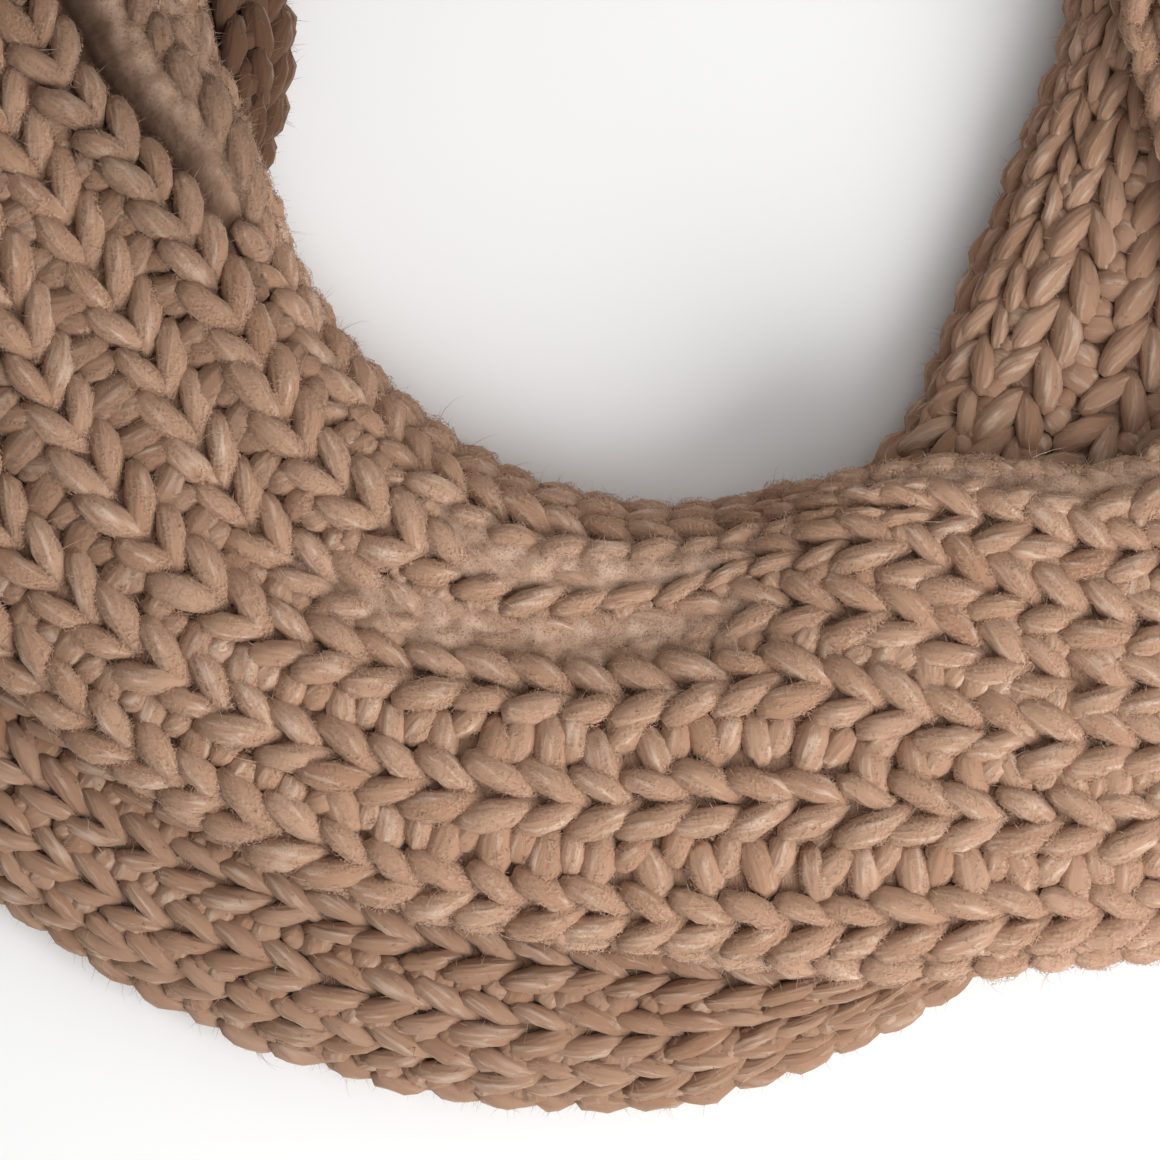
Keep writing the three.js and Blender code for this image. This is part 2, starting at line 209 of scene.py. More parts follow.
class BandTable:
    """A table of sections, read at any turn on a smooth curve through its rows."""

    def __init__(self, ribs: int, rows: Sequence[Sequence[float]]) -> None:
        """Completes the rows and works out the slopes at them.

        Args:
            ribs: how many ribs a row has.
            rows: one row of numbers for each section.
        """
        self.rib_count = ribs
        self.columns = ("turn", "inner", *(f"rib{k + 1}" for k in range(ribs)), "outer", *LAST_COLUMNS)
        full = [row if len(row) == len(self.columns) else (*row, *LEFT_OUT) for row in rows]
        self.values = np.array(full, float)
        self.turns = self.values[:, 0]
        before = np.maximum(np.arange(len(rows)) - 1, 0)
        after = np.minimum(np.arange(len(rows)) + 1, len(rows) - 1)
        rise = self.values[after] - self.values[before]
        self.slopes = rise / (self.turns[after] - self.turns[before])[:, None]

    def at(self, turn: np.ndarray) -> dict[str, np.ndarray]:
        """Values of every column at given turns.

        Args:
            turn: turns in degrees.

        Returns:
            One array for each column, by name.
        """
        turn = np.atleast_1d(np.asarray(turn, float))
        k = np.clip(np.searchsorted(self.turns, turn), 1, len(self.turns) - 1)
        span = self.turns[k] - self.turns[k - 1]
        x = np.clip((turn - self.turns[k - 1]) / span, 0, 1)[:, None]
        span = span[:, None]
        found = (
            (1 + 2 * x) * (1 - x) ** 2 * self.values[k - 1]
            + x * (1 - x) ** 2 * span * self.slopes[k - 1]
            + x * x * (3 - 2 * x) * self.values[k]
            - x * x * (1 - x) * span * self.slopes[k]
        )
        return {name: found[:, i] for i, name in enumerate(self.columns)}

    def ribs(self, row: dict[str, np.ndarray]) -> np.ndarray:
        """Distances of the ribs from the ring's centre, one line for each turn."""
        return np.stack([row[f"rib{k + 1}"] for k in range(self.rib_count)], axis=1)


def smooth(x: np.ndarray) -> np.ndarray:
    """A smooth step from 0 at 0 to 1 at 1."""
    x = np.clip(x, 0, 1)
    return x * x * (3 - 2 * x)


def underside(row: dict[str, np.ndarray], radius: np.ndarray) -> np.ndarray:
    """Height of the cloth's underside: flat on the surface, and lifted where it lies on the stretch beneath.

    Args:
        row: the band's values at the turns.
        radius: distances from the ring's centre, one line for each turn.

    Returns:
        Heights, in the shape of radius.
    """
    inside = (row["inner"] + row["tuck_in"])[:, None] - radius
    outside = radius - (row["outer"] - row["tuck_out"])[:, None]
    lift_in = np.maximum(row["lift_in"], 0)[:, None]
    lift_out = np.maximum(row["lift_out"], 0)[:, None]
    return lift_in * smooth(inside / FOOT_STEP) + lift_out * smooth(outside / FOOT_STEP)


def upper_left_shade(turn: np.ndarray) -> np.ndarray:
    """Painted shade: how much deeper in colour the recesses are towards the upper left, from 0 to 1."""
    return smooth((SHADE_FROM - turn) / 24) * smooth((turn - SHADE_TO) / 20)


def creased(depth: np.ndarray, lane: np.ndarray) -> np.ndarray:
    """How far a place lies in the deep crease, from 0 to 1, which sets the painted shade there."""
    return np.clip(depth / CREASE_DEEP, 0, 1) * np.exp(-(((lane - CREASE_LANE) / CREASE_REACH) ** 2))


class BandSurface:
    """The band's upper surface over one table, as a grid of points over turn and lane."""

    TOP_STEPS = 160
    CORNER_STEPS = 10
    TURN_STEP = 0.5
    LANE_STEP = 0.1
    LEAST_WALL = 10.0  # least spacing of the ribs on the side walls

    def __init__(self, table: BandTable, first: float, last: float) -> None:
        """Works out the sections, then the grid.

        Args:
            table: the band's table.
            first: first turn of the grid.
            last: last turn of the grid.
        """
        self.table = table
        count = int(round((last - first) / self.TURN_STEP)) + 1
        self.turns = np.linspace(first, last, count)
        row = table.at(self.turns)
        radius, height = self.outline(row)
        reach = np.hypot(np.diff(radius), np.diff(height))
        length = np.concatenate([np.zeros((count, 1)), np.cumsum(reach, axis=1)], axis=1)
        ribs = table.ribs(row)
        self.rib_count = table.rib_count
        lanes_out = self.rib_count - 1
        self.lanes = np.arange(-2, lanes_out + 2 + 1e-9, self.LANE_STEP)
        self.walls = np.empty((count, 2))
        grid_r = np.empty((count, len(self.lanes)))
        grid_z = np.empty_like(grid_r)
        self.crest_length = np.empty((count, self.rib_count))
        middle = slice(self.CORNER_STEPS, self.CORNER_STEPS + self.TOP_STEPS + 1)
        for i in range(count):
            crest = np.interp(ribs[i], radius[i, middle], length[i, middle])
            self.crest_length[i] = crest
            edges = (length[i, self.CORNER_STEPS], length[i, self.CORNER_STEPS + self.TOP_STEPS])
            wanted = np.clip(self.lane_length(crest, edges), length[i, 0], length[i, -1])
            self.walls[i] = crest[0] - edges[0], edges[1] - crest[-1]
            grid_r[i] = np.interp(wanted, length[i], radius[i])
            grid_z[i] = np.interp(wanted, length[i], height[i])
        angle = np.radians(self.turns)[:, None]
        self.points = np.stack([grid_r * np.sin(angle), -grid_r * np.cos(angle), grid_z], axis=2)
        along, across = np.gradient(self.points, axis=0), np.gradient(self.points, axis=1)
        self.along = self.unit(along)
        self.normal = self.unit(self.soften(np.cross(across, along)))

    @staticmethod
    def unit(vectors: np.ndarray) -> np.ndarray:
        """Vectors of length one in the same directions."""
        size = np.linalg.norm(vectors, axis=-1, keepdims=True)
        return vectors / np.maximum(size, 1e-9)

    @staticmethod
    def soften(vectors: np.ndarray) -> np.ndarray:
        """The grid's vectors averaged over the lanes next to each.

        Args:
            vectors: one for each turn and lane.

        Returns:
            As many vectors.
        """
        padded = np.pad(vectors, ((0, 0), (2, 2), (0, 0)), mode="edge")
        parts = [padded[:, k : k + vectors.shape[1]] * w for k, w in enumerate((1, 2, 3, 2, 1))]
        return sum(parts) / 9

    def lane_length(self, crest: np.ndarray, edges: tuple[float, float]) -> np.ndarray:
        """Length along a section at each lane of the grid.

        Args:
            crest: lengths at the ribs of that section.
            edges: lengths at its two edges, which are the lanes just beyond the ribs.

        Returns:
            Lengths at self.lanes.
        """
        last = self.rib_count - 1
        places = np.array([-2, -1, *range(self.rib_count), last + 1, last + 2])
        lengths = np.array([edges[0] - WALL_PITCH, edges[0], *crest, edges[1], edges[1] + WALL_PITCH])
        return np.interp(self.lanes, places, lengths)

    @classmethod
    def outline(cls, row: dict[str, np.ndarray]) -> tuple[np.ndarray, np.ndarray]:
        """Sections from under the inner edge, over the top, to under the outer edge.

        Args:
            row: the band's values at the turns.

        Returns:
            Distances from the ring's centre and heights, one line for each turn.
        """
        angle = np.pi * (1 - np.arange(cls.TOP_STEPS + 1) / cls.TOP_STEPS)[None, :]
        cosine, sine = np.cos(angle), np.abs(np.sin(angle))
        across = np.sign(cosine) * np.abs(cosine) ** (2 / CROWN_POWER)
        column = {name: value[:, None] for name, value in row.items()}
        middle = (column["inner"] + column["outer"]) / 2
        half = (column["outer"] - column["inner"]) / 2
        radius = middle + half * across
        lift = np.where(across < 0, column["lift_in"], column["lift_out"])
        edge = lift + np.minimum(ROLL_RADIUS, (column["crown"] - lift) / 2)
        trough = np.zeros_like(radius)
        if "rib4" in column:
            trough += column["dip"] * np.exp(-(((radius - column["rib4"]) / DIP_WIDTH) ** 2))
            crease_at = (column["rib2"] + column["rib3"]) / 2
            trough += column["crease"] * np.exp(-(((radius - crease_at) / CREASE_WIDTH) ** 2))
        height = edge + (column["crown"] - edge) * sine ** (2 / CROWN_POWER) - trough * sine
        corners = []
        for side, tuck, lifted in ((0, "tuck_in", "lift_in"), (-1, "tuck_out", "lift_out")):
            turn = np.linspace(np.pi / 2, 0, cls.CORNER_STEPS, endpoint=False)[None, :]
            depth = np.minimum(column[tuck], 6.0)
            low = np.maximum(column[lifted], 0)
            sign = 1 if side == 0 else -1  # towards the middle of the band
            r = radius[:, side][:, None] + sign * depth * (1 - np.cos(turn))
            z = low + (height[:, side][:, None] - low) * (1 - np.sin(turn))
            corners.append((r, z) if side == 0 else (r[:, ::-1], z[:, ::-1]))
        (r0, z0), (r1, z1) = corners
        return np.concatenate([r0, radius, r1], axis=1), np.concatenate([z0, height, z1], axis=1)

    def sample(self, grid: np.ndarray, turn: np.ndarray, lane: np.ndarray) -> np.ndarray:
        """Values of a grid between its points.

        Args:
            grid: an array over turns and lanes.
            turn: turns wanted.
            lane: lanes wanted.

        Returns:
            One value or vector for each place.
        """
        x = (turn - self.turns[0]) / (self.turns[1] - self.turns[0])
        y = (lane - self.lanes[0]) / self.LANE_STEP
        i = np.clip(np.floor(x).astype(int), 0, len(self.turns) - 2)
        j = np.clip(np.floor(y).astype(int), 0, len(self.lanes) - 2)
        fx, fy = np.clip(x - i, 0, 1), np.clip(y - j, 0, 1)
        if grid.ndim == 3:
            fx, fy = fx[:, None], fy[:, None]
        low = grid[i, j] * (1 - fy) + grid[i, j + 1] * fy
        high = grid[i + 1, j] * (1 - fy) + grid[i + 1, j + 1] * fy
        return low * (1 - fx) + high * fx

    def place(self, turn: np.ndarray, lane: np.ndarray) -> tuple[np.ndarray, np.ndarray]:
        """Points of the surface and its directions upwards, at given places."""
        return self.sample(self.points, turn, lane), self.unit(self.sample(self.normal, turn, lane))

    def rib_spacing(self, turn: np.ndarray, lane: np.ndarray) -> np.ndarray:
        """Distance between the ribs beside given places, measured on the surface.

        Args:
            turn: turns in degrees.
            lane: lanes.

        Returns:
            One distance for each place.
        """
        index = (turn - self.turns[0]) / (self.turns[1] - self.turns[0])
        index = np.clip(index, 0, len(self.turns) - 1).round().astype(int)
        low = np.clip(np.floor(lane - 0.5).astype(int), 0, self.rib_count - 2)
        high = np.clip(np.floor(lane + 0.5).astype(int), 0, self.rib_count - 2)
        steps = np.diff(self.crest_length, axis=1)
        found = (steps[index, low] + steps[index, high]) / 2
        wall, last = self.walls[index], self.rib_count - 1
        found = np.where(lane < 0, wall[:, 0], np.where(lane > last, wall[:, 1], found))
        return np.where((lane <= -1) | (lane >= last + 1), np.maximum(found, self.LEAST_WALL), found)


class Graph:
    """A node tree, shader or geometry, that is written as Python expressions."""

    def __init__(self, tree: bpy.types.NodeTree) -> None:
        """Keeps the tree that nodes are added to."""
        self.tree = tree

    def node(self, kind: str, settings: dict[str, Any] | None = None,
             sockets: dict[Any, Any] | None = None) -> "Made":
        """Adds a node.

        Args:
            kind: the node's type.
            settings: its own properties, set before its sockets; stops are a ramp's places and colours.
            sockets: a value, or something to link, for each input, by its name or number.

        Returns:
            The node, whose outputs are read by name or number.
        """
        made = self.tree.nodes.new(kind)
        for name, value in (settings or {}).items():
            if name == "stops":
                self.fill_ramp(made, value)
            else:
                setattr(made, name, value)
        for key, value in (sockets or {}).items():
            self.feed(made.inputs[key], value)
        return Made(self, made)

    @staticmethod
    def fill_ramp(made: bpy.types.Node, stops: Sequence[tuple[float, Sequence[float]]]) -> None:
        """Sets a ramp's stops.

        Args:
            made: the ramp's node.
            stops: pairs of place and colour.
        """
        ramp = made.color_ramp
        while len(ramp.elements) > 1:
            ramp.elements.remove(ramp.elements[-1])
        for k, (place, colour) in enumerate(stops):
            element = ramp.elements[0] if k == 0 else ramp.elements.new(place)
            element.position = place
            element.color = (*colour, 1.0)

    def feed(self, socket: bpy.types.NodeSocket, value: Any) -> None:
        """Links a socket to what feeds it, or sets its value.

        Args:
            socket: the input.
            value: a node, an output or a plain value. None leaves the socket as it is.
        """
        if isinstance(value, Made):
            value = value.out()
        if isinstance(value, Flow):
            self.tree.links.new(value.socket, socket)
        elif value is not None:
            socket.default_value = value

    def maths(self, operation: str, *values: Any) -> "Flow":
        """A Math node of the given operation on up to three values."""
        return self.node("ShaderNodeMath", {"operation": operation}, dict(enumerate(values))).out()

    def vector_maths(self, operation: str, *values: Any) -> "Flow":
        """A Vector Math node of the given operation on up to three vectors."""
        return self.node("ShaderNodeVectorMath", {"operation": operation}, dict(enumerate(values))).out()

    def scaled(self, vector: Any, factor: Any) -> "Flow":
        """A vector made longer by a factor."""
        return self.node("ShaderNodeVectorMath", {"operation": "SCALE"}, {0: vector, "Scale": factor}).out()

    def vector(self, x: Any, y: Any, z: Any) -> "Flow":
        """A vector from three numbers."""
        return self.node("ShaderNodeCombineXYZ", None, {0: x, 1: y, 2: z}).out()

    def parts(self, vector: Any) -> tuple["Flow", "Flow", "Flow"]:
        """The three numbers of a vector."""
        made = self.node("ShaderNodeSeparateXYZ", None, {0: vector})
        return made.out(0), made.out(1), made.out(2)

    def reads(self, name: str, output: str = "Fac") -> "Flow":
        """What a shader reads from an attribute of the points."""
        return self.node("ShaderNodeAttribute", {"attribute_name": name}).out(output)

    def random(self, kind: str, low: Any, high: Any, seed: Any) -> "Flow":
        """Random values between two others.

        Args:
            kind: FLOAT or FLOAT_VECTOR.
            low: least value.
            high: greatest value.
            seed: the seed.

        Returns:
            One value for each point.
        """
        first = 0 if kind == "FLOAT_VECTOR" else 2
        sockets = {first: low, first + 1: high, "Seed": seed}
        return self.node("FunctionNodeRandomValue", {"data_type": kind}, sockets).out(first // 2)

    def surface(self, sockets: dict[str, Any]) -> None:
        """Ends a material with the surface that the given inputs describe."""
        shader = self.node("ShaderNodeBsdfPrincipled", None, sockets)
        self.node("ShaderNodeOutputMaterial", None, {"Surface": shader})

    def grain(self, vector: Any, scale: float, detail: float = 0.0, roughness: float = 0.5,
              normalize: bool = True) -> "Flow":
        """A noise texture.

        Args:
            vector: where it is read.
            scale: how fine it is.
            detail: how many finer noises are added to it.
            roughness: how strong those are.
            normalize: True for values from 0 to 1, False for values round 0.

        Returns:
            Its value.
        """
        sockets = {"Vector": vector, "Scale": scale, "Detail": detail, "Roughness": roughness}
        return self.node("ShaderNodeTexNoise", {"normalize": normalize}, sockets).out()

    def mix_colour(self, factor: Any, first: Any, second: Any, blend: str = "MIX") -> "Flow":
        """A Mix node on two colours. The factor is the share of the second."""
        settings = {"data_type": "RGBA", "blend_type": blend, "clamp_factor": True}
        return self.node("ShaderNodeMix", settings, {0: factor, 6: first, 7: second}).out(2)


class Made:
    """A node just added."""

    def __init__(self, graph: Graph, node: bpy.types.Node) -> None:
        """Keeps the node and its graph."""
        self.graph, self.node = graph, node

    def out(self, key: int | str = 0) -> "Flow":
        """One of its outputs, by name or number."""
        return Flow(self.graph, self.node.outputs[key])


class Flow:
    """An output socket. Arithmetic on it adds Math nodes."""

    def __init__(self, graph: Graph, socket: bpy.types.NodeSocket) -> None:
        """Keeps the socket and its graph."""
        self.graph, self.socket = graph, socket

    def __add__(self, other: Any) -> "Flow":
        """Sum."""
        return self.graph.maths("ADD", self, other)

    __radd__ = __add__

    def __mul__(self, other: Any) -> "Flow":
        """Product."""
        return self.graph.maths("MULTIPLY", self, other)

    __rmul__ = __mul__

    def __sub__(self, other: Any) -> "Flow":
        """Difference."""
        return self.graph.maths("SUBTRACT", self, other)

    def __rsub__(self, other: Any) -> "Flow":
        """Difference from a number."""
        return self.graph.maths("SUBTRACT", other, self)

    def __pow__(self, other: Any) -> "Flow":
        """Power."""
        return self.graph.maths("POWER", self, other)

    def __gt__(self, other: Any) -> "Flow":
        """1 where this is the greater."""
        return self.graph.maths("GREATER_THAN", self, other)

    def clamp(self) -> "Flow":
        """Held between 0 and 1."""
        return self.graph.node("ShaderNodeClamp", None, {0: self}).out()


def linear(red: int, green: int, blue: int) -> tuple[float, float, float]:
    """A colour given in 8-bit sRGB as linear numbers."""
    shares = (red / 255, green / 255, blue / 255)
    return tuple(c / 12.92 if c <= 0.04045 else ((c + 0.055) / 1.055) ** 2.4 for c in shares)


def linear_rgba(colour: tuple[int, int, int], gain: float = 1.0) -> tuple[float, float, float, float]:
    """A colour given in 8-bit sRGB as linear numbers with an alpha of 1, made brighter by gain."""
    return (*(min(1.0, c * gain) for c in linear(*colour)), 1.0)


def new_material(name: str) -> tuple[bpy.types.Material, Graph]:
    """A material without nodes.

    Args:
        name: its name.

    Returns:
        The material, and the graph that its nodes are added to.
    """
    made = bpy.data.materials.new(name)
    made.use_nodes = True
    made.node_tree.nodes.clear()
    return made, Graph(made.node_tree)


@dataclass(frozen=True)
class YarnFinish:
    """Soft roving: pale streaks and flecks along the strand, with painted highlights on the strands' tops;
    dark lines; painted shade in the hollows and under the strands; fine ridges.
    """

    name: str
    body: tuple[int, int, int]
    pale: tuple[int, int, int]
    # deep: colour of the yarn's dark lines, and the colour that the painted shade mixes in
    deep: tuple[int, int, int]
    # tip: colour of the pale fibre flecks, painted as highlights on the strands' tops
    tip: tuple[int, int, int] = (224, 204, 187)
    streak: float = 0.5
    fleck_highlight: float = 0.6
    relief: float = 0.55
    relief_depth: float = 0.0015
    roughness: float = 0.92
    sheen: float = 0.35
    sheen_roughness: float = 0.5

    def material(self) -> bpy.types.Material:
        """Builds the material.

        Returns:
            The material, which reads the attributes strand, tone, felt and shade.
        """
        made, g = new_material(self.name)
        strand = g.reads("strand", "Vector")
        tone, felt, shade = g.reads("tone"), g.reads("felt"), g.reads("shade")
        along, _, lift = g.parts(strand)
        twist = {0: strand, "Angle": along * 0.09}
        spun = g.node("ShaderNodeVectorRotate", {"rotation_type": "X_AXIS"}, twist).out()
        moved = g.vector_maths("ADD", spun, g.vector(tone * 31, tone * 17, 0))
        ply = g.grain(g.vector_maths("MULTIPLY", moved, (0.16, 1.7, 1.7)), 1.0, 1.0, 0.6)
        fibre = g.grain(g.vector_maths("MULTIPLY", moved, (0.7, 8.0, 8.0)), 1.0, 1.0, 0.6)
        body = g.mix_colour(tone, linear_rgba(self.body, 0.93), linear_rgba(self.body, 1.06))
        # Pale streaks of the ply, strongest on the strands' upper sides: the yarn's own pale fibres, with a
        # painted highlight on top.
        streaks = ((ply - 0.56) * 6.0).clamp() * self.streak * (lift * 0.5 + 0.5).clamp()
        pale = g.mix_colour(streaks + (fibre - 0.5) * 0.25 * self.streak, body, linear_rgba(self.pale))
        # The strands' tops, the only place where the pale flecks show: a painted highlight on the yarn's
        # pale fibres.
        ridge = ((lift - 0.45) * 3.0).clamp()
        fleck_highlight = ((fibre + ply * 0.6 - 0.92) * 7.0).clamp() * ridge * self.fleck_highlight
        pale = g.mix_colour(fleck_highlight, pale, linear_rgba(self.tip))
        dark_lines = ((0.42 - ply) * 5.0).clamp() * 0.12
        worn = g.mix_colour(dark_lines, pale, linear_rgba(self.deep))
        # Painted shade: darker on the strands' undersides and in the base cloth's recesses, less where
        # felted.
        hollow = (0.15 - lift) * 0.8 - felt * 0.4
        shaded = g.mix_colour(hollow.clamp() * 0.5, worn, linear_rgba(self.deep))
        toned = g.mix_colour((tone - 0.5) * 0.24 + 0.12, shaded, linear_rgba(self.pale))
        misty = g.mix_colour(felt * 0.4 * ply, toned, linear_rgba(self.pale))
        # Painted shade from the attribute shade: under the layers above, in the recesses and in the crease.
        colour = g.mix_colour(shade, misty, linear_rgba(self.deep))
        bump = g.node("ShaderNodeBump", None, {
            "Strength": self.relief, "Distance": self.relief_depth, "Height": ply * 0.8})
        g.surface({
            "Base Color": colour, "Roughness": self.roughness, "Normal": bump, "Sheen Weight": self.sheen,
            "Sheen Roughness": self.sheen_roughness, "Sheen Tint": linear_rgba(self.pale),
            "Specular IOR Level": 0.15})
        return made


@dataclass(frozen=True)
class HaloFinish:
    """A net of curled loose fibres with air between them."""

    name: str
    colour: tuple[int, int, int]
    light: tuple[int, int, int]
    # deep: the colour that the painted shade mixes in
    deep: tuple[int, int, int]
    cover: float  # how much of the net is filled where it is not felted
    felted: float  # how much more it is filled at full felting
    width: float = 0.045  # of a fibre, as a share of the noise that draws it
    tufts: float = 0.0  # how finely its fibres gather in tufts

    def fibres(self, g: Graph, place: Flow, scale: float, shift: float) -> Flow:
        """Curled lines, the level lines of a noise.

        Args:
            g: the shader's graph.
            place: coordinates.
            scale: how fine the curls are.
            shift: moves the pattern, so that two of them differ.

        Returns:
            1 on a line, 0 off it.
        """
        moved = g.vector_maths("ADD", place, (shift, shift, shift))
        away = g.maths("ABSOLUTE", g.grain(moved, scale) - 0.5)
        return (1 - away * (1 / self.width)).clamp()

    def material(self) -> bpy.types.Material:
        """Builds the material, which reads the attributes felt and shade."""
        made, g = new_material(self.name)
        place = g.node("ShaderNodeTexCoord").out("Object")
        net, lit = self.fibres(g, place, 1300.0, 0.0), linear_rgba(self.colour)
        if self.tufts:
            patches = g.grain(place, 240.0, self.tufts)
            finer = self.fibres(g, place, 2000.0, 0.37)
            net = g.maths("MAXIMUM", net, finer) * (patches * 1.8 - 0.12).clamp()
            lit = g.mix_colour(((patches - 0.35) * 2.6).clamp(), lit, linear_rgba(self.light))
        alpha = net * (g.reads("felt") * self.felted + self.cover)
        # Painted shade from the attribute shade.
        colour = g.mix_colour(g.reads("shade"), lit, linear_rgba(self.deep))
        g.surface({
            "Base Color": colour, "Roughness": 0.95, "Alpha": alpha.clamp(), "Specular IOR Level": 0.05})
        return made


@dataclass(frozen=True)
class PlainFinish:
    """One even colour with faint mottling, for the floor."""

    name: str
    colour: tuple[int, int, int]
    roughness: float = 0.9

    def material(self) -> bpy.types.Material:
        """Builds the material."""
        made, g = new_material(self.name)
        place = g.node("ShaderNodeTexCoord").out("Object")
        mottle = g.grain(place, 6.0, 2.0)
        colour = g.mix_colour(mottle * 0.04, linear_rgba(self.colour), linear_rgba(self.colour, 0.9))
        g.surface({"Base Color": colour, "Roughness": self.roughness, "Specular IOR Level": 0.1})
        return made


class GeometryTree:
    """A Geometry Nodes tree with named inputs, applied to a piece as a modifier, which is then removed."""

    KINDS = {"FLOAT": "NodeSocketFloat", "INT": "NodeSocketInt", "MATERIAL": "NodeSocketMaterial"}

    def __init__(self, name: str, inputs: Iterable[tuple[str, str]]) -> None:
        """Makes the empty tree.

        Args:
            name: name of the tree.
            inputs: name and kind of each input after the geometry.
        """
        self.group = bpy.data.node_groups.new(name, "GeometryNodeTree")
        face = self.group.interface
        face.new_socket("Geometry", in_out="INPUT", socket_type="NodeSocketGeometry")
        self.keys: dict[str, str] = {}
        for label, kind in inputs:
            socket = face.new_socket(label, in_out="INPUT", socket_type=self.KINDS[kind])
            self.keys[label] = socket.identifier
        face.new_socket("Geometry", in_out="OUTPUT", socket_type="NodeSocketGeometry")
        self.graph = Graph(self.group)
        self.entry = self.graph.node("NodeGroupInput")

    def attribute(self, name: str, kind: str = "FLOAT") -> Flow:
        """A named attribute of the geometry that is being worked on."""
        made = self.graph.node("GeometryNodeInputNamedAttribute", {"data_type": kind}, {"Name": name})
        return made.out("Attribute")

    def store(self, geometry: Any, name: str, kind: str, value: Any) -> Flow:
        """The geometry with a named attribute of the given kind stored on its points."""
        settings = {"data_type": kind, "domain": "POINT"}
        return self.graph.node("GeometryNodeStoreNamedAttribute", settings, {
            "Geometry": geometry, "Name": name, "Value": value}).out()

    def close(self, instances: Any, material: Any) -> None:
        """Ends the tree: real geometry, none of it under the floor, smooth, with its material.

        Args:
            instances: what the tree has made.
            material: the finish.
        """
        g = self.graph
        real = g.node("GeometryNodeRealizeInstances", None, {0: instances})
        x, y, z = g.parts(g.node("GeometryNodeInputPosition"))
        above = g.vector(x, y, g.maths("MAXIMUM", z, FLOOR_GAP * MM))
        clear = g.node("GeometryNodeSetPosition", None, {"Geometry": real, "Position": above})
        soft = g.node("GeometryNodeSetShadeSmooth", None, {0: clear})
        dressed = g.node("GeometryNodeSetMaterial", None, {0: soft, "Material": material})
        g.node("NodeGroupOutput", None, {0: dressed})

    def apply(self, source: bpy.types.Mesh, name: str, values: dict[str, Any]) -> bpy.types.Object:
        """Runs the tree on a mesh and turns the result into a plain mesh object.

        Args:
            source: mesh that the tree starts from.
            name: name of the new piece.
            values: the tree's inputs by name.

        Returns:
            The new object, without modifiers, with the attributes that the materials read.
        """
        piece = add_object(name, source)
        modifier = piece.modifiers.new("made", "NODES")
        modifier.node_group = self.group
        for label, value in values.items():
            modifier[self.keys[label]] = value
        piece.update_tag()
        plain = flatten(piece)
        for attribute in [a.name for a in plain.attributes]:
            known = plain.attributes[attribute]
            fixed = known.is_required or known.is_internal or attribute == "material_index"
            if attribute not in READ_BY_YARN and not fixed:
                plain.attributes.remove(known)
        return piece


def add_object(name: str, data: bpy.types.ID) -> bpy.types.Object:
    """Puts a new object into the scene.

    Args:
        name: its name.
        data: its mesh, light or camera.

    Returns:
        The object, at the origin.
    """
    made = bpy.data.objects.new(name, data)
    bpy.context.scene.collection.objects.link(made)
    return made


def flatten(piece: bpy.types.Object) -> bpy.types.Mesh:
    """Gives a piece the mesh that its modifiers make, and removes the modifiers.

    Args:
        piece: the piece.

    Returns:
        Its new mesh.
    """
    bpy.context.view_layer.update()
    graph = bpy.context.evaluated_depsgraph_get()
    source, made = piece.data, piece.evaluated_get(graph)
    plain = bpy.data.meshes.new_from_object(made, preserve_all_data_layers=True, depsgraph=graph)
    piece.modifiers.clear()
    piece.data = plain
    bpy.data.meshes.remove(source)
    plain.name = piece.name
    return plain


def walled(mesh: bpy.types.Mesh, thickness: float, material: bpy.types.Material) -> bpy.types.Object:
    """A piece from a surface, which gets a wall on its inner side.

    Args:
        mesh: the surface, whose name the piece gets.
        thickness: of the wall, in millimetres.
        material: its finish.

    Returns:
        The piece, with nothing of it under the floor.
    """
    piece = add_object(mesh.name, mesh)
    wall = piece.modifiers.new("wall", "SOLIDIFY")
    wall.thickness, wall.offset = thickness * MM, -1
    solid = flatten(piece)
    place = np.empty(len(solid.vertices) * 3)
    solid.vertices.foreach_get("co", place)
    place[2::3] = np.maximum(place[2::3], SOLE_GAP * MM)
    solid.vertices.foreach_set("co", place)
    solid.materials.append(material)
    solid.shade_smooth()
    return piece


def lumpiness(points: np.ndarray, *waves: tuple[float, float]) -> np.ndarray:
    """A smooth unevenness at each point, the sum of noises that are given by size and strength."""
    return np.array([sum(k * noise.noise(Vector(point) / size) for size, k in waves) for point in points])


def add_mesh(name: str, points: np.ndarray, faces: Sequence[Sequence[int]] = ()) -> bpy.types.Mesh:
    """A mesh from points in millimetres round the ring's centre.

    Args:
        name: name of the mesh.
        points: one line of three numbers for each point.
        faces: corners of each face.

    Returns:
        The mesh, in metres in the part's frame.
    """
    moved = (points + np.array([*CENTRE_SHIFT, 0.0])) * MM
    mesh = bpy.data.meshes.new(name)
    mesh.from_pydata(moved.tolist(), [], [list(f) for f in faces])
    mesh.update()
    return mesh


def merged(parts: Iterable[bpy.types.Mesh]) -> bpy.types.Mesh:
    """Joins meshes.

    Args:
        parts: the meshes, which stay as they are.

    Returns:
        One mesh from copies of them, with their attributes.
    """
    joined = bmesh.new()
    for part in parts:
        joined.from_mesh(part)
    mesh = bpy.data.meshes.new("joined")
    joined.to_mesh(mesh)
    joined.free()
    return mesh


def set_attributes(mesh: bpy.types.Mesh, **values: np.ndarray) -> None:
    """Writes attributes of a mesh's points.

    Args:
        mesh: the mesh.
        values: by name, a number or a vector for every point.
    """
    for name, array in values.items():
        vector = array.size > len(mesh.vertices)
        made = mesh.attributes.new(name, "FLOAT_VECTOR" if vector else "FLOAT", "POINT")
        made.data.foreach_set("vector" if vector else "value", array.astype(np.float32).ravel())


